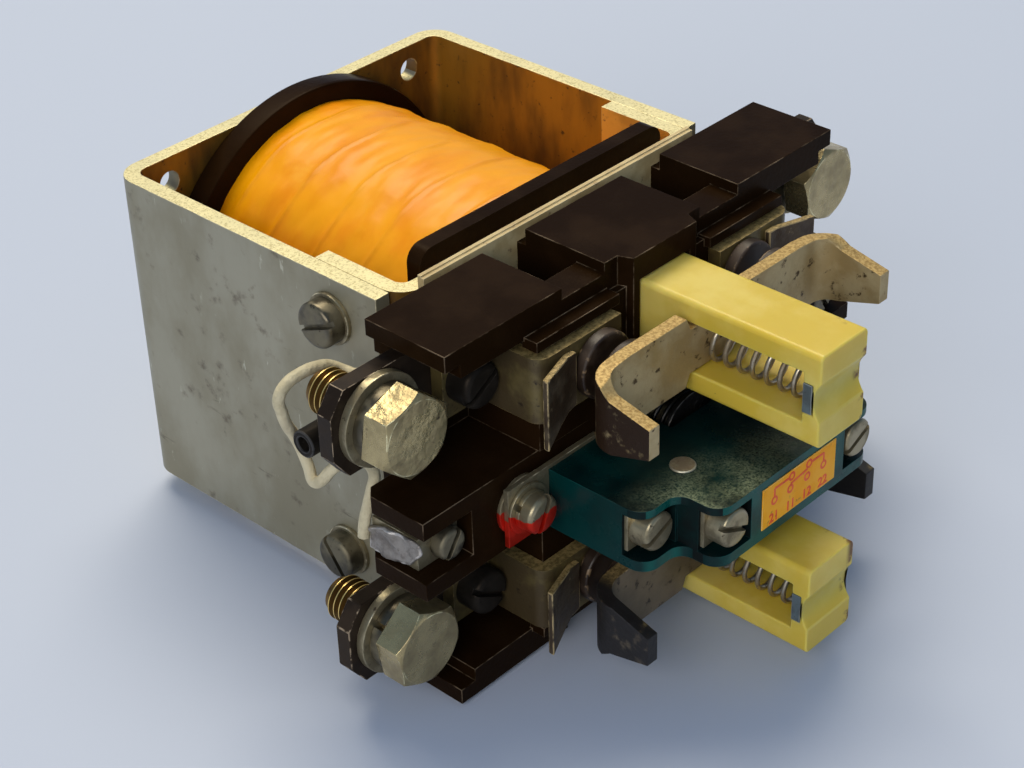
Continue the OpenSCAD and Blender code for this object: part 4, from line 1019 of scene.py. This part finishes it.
def wind_coil(steps=150):
    front, rear = depth_of("coil_winding")
    core = TUBE_R + TUBE_WALL
    outer = [(WINDING_R, front + (rear - front) * k / steps) for k in range(steps + 1)]
    mesh = spun([(core, front)] + outer + [(core, rear)], 220)
    lap_mark = mesh.verts.layers.float.new("lap")
    for vert in mesh.verts:
        radius = math.hypot(vert.co.x, vert.co.z) / MM
        if radius > WINDING_R - 1:
            angle = math.atan2(vert.co.z, vert.co.x)
            depth = vert.co.y / MM
            ply = ply_place(angle, depth)
            vert[lap_mark] = max(0.0, 1 - min(ply, 1 - ply) / 0.06)
            factor = tape_radius(angle, depth, (depth - front) / (rear - front)) / radius
            vert.co.x *= factor
            vert.co.z *= factor
    piece = dress(mesh, "coil_winding", [tape], "taped_winding", weighted=False)
    print("tape drum:", len(piece.data.polygons), "faces")


wind_coil()

# %% [markdown]
# ## The bobbin
# The rear flange is a thick turned disc with a rounded rim, the front flange a plate with rounded
# corners. The front one keeps its solid's outline, and the disc and the tube are spun anew, the disc
# in 160 steps, so that it stays round against the light.

# %% Build the bobbin
DISC_R = 34.2


def build_bobbin():
    front, rear = depth_of("coil_bobbin")
    flange_back, disc_front = depth_of("coil_winding")
    tube_out = TUBE_R + TUBE_WALL
    tube = ((TUBE_R, flange_back - 0.2), (tube_out, flange_back - 0.2), (tube_out, disc_front + 0.2),
            (TUBE_R, disc_front + 0.2))
    disc = (
        (TUBE_R, rear), (TUBE_R, disc_front), (DISC_R - 0.7, disc_front), (DISC_R - 0.2, disc_front + 0.2),
        (DISC_R, disc_front + 0.7), (DISC_R, rear - 0.7), (DISC_R - 0.2, rear - 0.2), (DISC_R - 0.7, rear))
    mesh = cleaned("coil_bobbin")
    cut_behind(mesh, flange_back + 0.01)
    bevel_sharp(mesh, 0.5)
    join(mesh, spun(tube, 96))
    join(mesh, spun(disc, 160))
    dress(mesh, "coil_bobbin", [black_moulding], "bobbin")
    print("bobbin:", round(front, 1), "to", round(rear, 1), "mm deep")


build_bobbin()

# %% [markdown]
# ## Terminal bolts
# The hexagon heads keep their solids' shape. Behind each strip the bolt's thread shows, golden from its
# plating: a spun profile of teeth 1.25 mm apart, which is the pitch of an M8 thread. The outermost narrow
# band of each tooth is marked in the edge attribute, so the worn-edge colour paints a highlight on it, and
# the dark base colour of the flanks is painted shade.

# %% Cut the plain tails off and add threads
PITCH = 1.25
BOLT_R = 4.0
BOLT_X = 52.4
POLE_Z = 20.6


def thread_profile(front, rear):
    root = BOLT_R - 0.75
    teeth = [(0.01, front)]
    place = front
    while place + PITCH < rear - 0.2:
        teeth += [(root, place), (root, place + 0.15), (BOLT_R, place + 0.6), (BOLT_R, place + 0.8)]
        place += PITCH
    return teeth + [(root, place), (BOLT_R - 0.9, rear), (0.01, rear)]


def threaded(x, z, front, rear):
    thread = spun(thread_profile(front, rear), 48, (x, z))
    edge_mark = thread.faces.layers.float["edge"]
    crest = (BOLT_R - 0.05) * MM
    for face in thread.faces:
        face.material_index = 1
        # Painted highlight: the crest faces are marked for the bright worn-edge colour.
        if all(math.hypot(v.co.x - x * MM, v.co.z - z * MM) > crest for v in face.verts):
            face[edge_mark] = 1.0
    return thread


def build_bolts():
    cut = depth_of("terminal_strip_upper_left")[1] - 0.3
    rear = depth_of("terminal_bolts")[1]
    mesh = cleaned("terminal_bolts")
    cut_behind(mesh, cut)
    bevel_sharp(mesh, 0.25, angle=25.0)
    for x in (-BOLT_X, BOLT_X):
        for z in (-POLE_Z, POLE_Z):
            join(mesh, threaded(x, z, cut, rear))
    dress(mesh, "terminal_bolts", [bolt_zinc, thread_brass], "hexagon_bolts")
    print("bolt tails reach", round(rear, 1), "mm")


build_bolts()

# %% [markdown]
# ## Springs
# A spring is a small circle spun many times round while it moves along its axis. The contact springs are
# pressed together when a bridge meets its contacts, and the return spring when the magnet pulls in; here each
# is only wound to its solid's length, and does not flatten.

# %% Wind the springs
TRAVEL = 6.0
BRIDGE_TRAVEL = 3.24


def wind_spring(name, node, wire, curls, height, material, joint, travel, fixed_end):
    low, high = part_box(node)
    radius = (high[0] - low[0]) / 2 / MM - wire / 2
    front, rear = depth_of(node)
    mesh = blank()
    steps = round(curls * 36)
    length = rear - front - wire - 0.04
    made = bmesh.ops.create_circle(mesh, segments=12, radius=wire / 2 * MM, cap_ends=False)
    bmesh.ops.translate(mesh, verts=made["verts"], vec=(radius * MM, 0, 0))
    first = mesh.edges[:]
    made = bmesh.ops.spin(mesh, geom=mesh.verts[:] + mesh.edges[:], cent=(0, 0, 0), axis=(0, 1, 0),
                          dvec=(0, -length / steps * MM, 0), angle=math.tau * curls, steps=steps,
                          use_merge=False, use_duplicate=False)
    bmesh.ops.holes_fill(mesh, edges=first + edges_of(made["geom_last"]))
    bmesh.ops.translate(mesh, verts=mesh.verts, vec=(0, (rear - wire / 2 - 0.02) * MM, height * MM))
    piece = dress(mesh, node, [material], name, weighted=False)
    anchor = front if fixed_end == "front" else rear
    keep = (rear - front - travel) / (rear - front)
    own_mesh(piece)
    print(name, "curls:", curls, "length:", round(rear - front, 1), "mm")


for level, height in (("upper", POLE_Z), ("lower", -POLE_Z)):
    wind_spring(level + "_spring_wire", level + "_contact_spring", 0.9, 7.5, height, spring_steel,
                level + "_bridge_slide", BRIDGE_TRAVEL, "front")
wind_spring("return_spring_wire", "return_spring", 0.8, 6, 0.0, dark_spring, "armature_slide", TRAVEL, "rear")

# %% [markdown]
# ## The coil leads
# A coil lead is a thin wire in a cream braid, 2 mm thick. Each follows the same points as its solid:
# out of the winding, through the flange and the plate, behind the base, and round to its clip. The
# left one swings behind the upper bolt and a black sleeve, which covers the end of a spare tail. A
# point is given as x, the distance behind the insulating sheet's front face, and z. A bezier curve
# with a round bevel makes the tube, and it is turned into a mesh at once.

# %% Lay the leads
WAY_OUT = (
    (20.8, 14.8, 22.4), (22.6, 13.4, 24), (24.4, 10.4, 24.8), (26.5, 7.5, 24.3), (26.5, 4.4, 24.3),
    (26.5, 0.2, 24.3), (28.1, -1.6, 24.3), (33, -1.6, 24.3), (39, -1.6, 24.3), (44.6, -1.5, 24.3))
LEFT_LOOP = (
    (46.4, 0.6, 22.4), (46.6, 3.2, 20.9), (47, 5.3, 20.9), (48.7, 6.5, 22.1), (51.2, 6.5, 23.2),
    (55, 6.5, 23.7), (58.2, 6.5, 23.1), (59.7, 6.5, 21.4), (59.4, 6.5, 18.9), (57.8, 7.4, 15),
    (55.9, 8.4, 11.9), (54.6, 8.4, 8.4), (54.4, 7.2, 5.2), (54.9, 5.7, 3.4), (54.8, 4, 4.2),
    (53.7, 2.4, 6.6), (52.3, -0.2, 8.9), (51.4, -3.2, 9.5), (51.5, -5.1, 8.2))
RIGHT_BEND = (
    (46.6, 0.4, 22.2), (46.9, 1.6, 19), (46.9, 0.4, 14.5), (48.4, -2, 11.2), (50.6, -4.6, 9.4),
    (51.8, -5.3, 7.4))
WAY_IN = ((52.6, -5.35, 5.4), (53.4, -5.35, 3.4), (54.5, -5.35, 0.6), (54.9, -5.3, -2.2))
TAIL_WAY = (
    (46.7, 4, 20.0), (46.6, 4, 15.8), (47.2, 4.3, 13.6), (48.8, 4.4, 12.5), (51, 4.4, 12.5),
    (53.5, 4.4, 12.5))
LEAD_R = 1.0


def add_shape(mesh, name, curve):
    """Adds the finished mesh of a curve or a text."""
    line = linked(name, curve)
    bpy.context.view_layer.update()
    data = bpy.data.meshes.new_from_object(line.evaluated_get(bpy.context.evaluated_depsgraph_get()))
    bpy.data.objects.remove(line)
    mesh.from_mesh(data)
    bpy.data.meshes.remove(data)


def lead_curve(side, way):
    sheet_front = depth_of("insulating_sheet")[0]
    curve = bpy.data.curves.new("lead_way", "CURVE")
    curve.dimensions = "3D"
    curve.bevel_depth = LEAD_R * MM
    curve.bevel_resolution = 4
    curve.resolution_u = 6
    curve.use_fill_caps = True
    spline = curve.splines.new("BEZIER")
    spline.bezier_points.add(len(way) - 1)
    for point, (x, behind, z) in zip(spline.bezier_points, way):
        point.co = Vector((side * x, sheet_front + behind, z)) * MM
        point.handle_left_type = "AUTO"
        point.handle_right_type = "AUTO"
    return curve


def lay_lead(name, node, side, *ways):
    mesh = blank()
    for way in ways:
        add_shape(mesh, "lead_way", lead_curve(side, way))
    bmesh.ops.remove_doubles(mesh, verts=mesh.verts, dist=0.001 * MM)
    piece = dress(mesh, node, [braid], name, weighted=False)
    print(name, "faces:", len(piece.data.polygons))


lay_lead("left_lead", "left_coil_lead", -1, WAY_OUT + LEFT_LOOP + WAY_IN, TAIL_WAY)
lay_lead("right_lead", "right_coil_lead", 1, WAY_OUT + RIGHT_BEND + WAY_IN)
softened("lead_sleeve", rubber, 0.3)

# %% [markdown]
# ## The label
# The small label on the auxiliary block is yellow film with a red diagram: four rings in a row, of
# which the outer two hang from brackets that end in a ring each, a slanted line between the middle
# two, and a plain number below each. It has no words. Straight strokes are thin flat bars, and a
# ring is a small spun profile. Numbers are text, turned into a mesh before it gets its place.

# %% Draw the label
COLUMNS = (-6.7, -2.5, 2.0, 6.4)
STROKE = 0.45
INK = 0.02
RING_IN, RING_OUT = 0.44, 0.86


def stroke(mesh, x0, z0, x1, z1, front):
    """A thin flat bar from one point of the label to another."""
    length = math.hypot(x1 - x0, z1 - z0)
    made = bmesh.ops.create_cube(mesh, size=1.0)
    size = Matrix.Diagonal((length * MM, 2 * INK * MM, STROKE * MM, 1))
    flat = Matrix.Rotation(math.atan2(z1 - z0, x1 - x0), 4, Vector((0, -1, 0)))
    middle = Vector(((x0 + x1) / 2, front, (z0 + z1) / 2)) * MM
    bmesh.ops.transform(mesh, matrix=Matrix.Translation(middle) @ flat @ size, verts=made["verts"])


def ring(mesh, x, z, front):
    near, far = front - INK, front + INK
    join(mesh, spun([(RING_IN, near), (RING_OUT, near), (RING_OUT, far), (RING_IN, far)], 20, (x, z)))


def print_on_label(mesh, name):
    piece = to_piece(mesh, name, [red_print], "auxiliary_label", weighted=False)
    return piece


def draw_label():
    softened("auxiliary_label", label_film, 0.05)
    front = depth_of("auxiliary_label")[0] - 0.01
    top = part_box("auxiliary_label")[1][2] / MM
    mesh = blank()
    first, second, third, last = COLUMNS
    middle, upper = top - 3.4, top - 1.1
    for x in COLUMNS:
        ring(mesh, x, middle, front)
    for x in (first, last):
        stroke(mesh, x, middle + 0.9, x, upper, front)
    stroke(mesh, first, upper, second - 0.6, upper, front - 0.01)
    ring(mesh, second + 0.3, upper, front)
    ring(mesh, third + 0.4, upper, front)
    stroke(mesh, third + 1.3, upper, last, upper, front - 0.01)
    stroke(mesh, second, middle + 0.9, third, middle + 1.5, front)
    piece = print_on_label(mesh, "label_diagram")
    print("label diagram faces:", len(piece.data.polygons))


def number_marks():
    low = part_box("auxiliary_label")[0]
    upright = Matrix.Rotation(math.pi / 2, 4, "X")
    for k, digits in enumerate(("21", "11", "12", "22")):
        text = bpy.data.curves.new("number", "FONT")
        text.body = digits
        text.size = 2.5 * MM
        text.extrude = INK * MM
        text.offset = 0.07 * MM
        text.align_x = "CENTER"
        mesh = blank()
        add_shape(mesh, "number", text)
        place = Vector(((COLUMNS[0] + 4.37 * k) * MM, low[1] - INK * MM, low[2] + 0.45 * MM))
        bmesh.ops.transform(mesh, matrix=Matrix.Translation(place) @ upright, verts=mesh.verts)
        print_on_label(mesh, "label_number_" + digits)


draw_label()
number_marks()

# %% Write the sizes and finish
seen_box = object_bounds()
print("solids' box:", in_mm(cad_box))
print("seen box:", in_mm(seen_box))
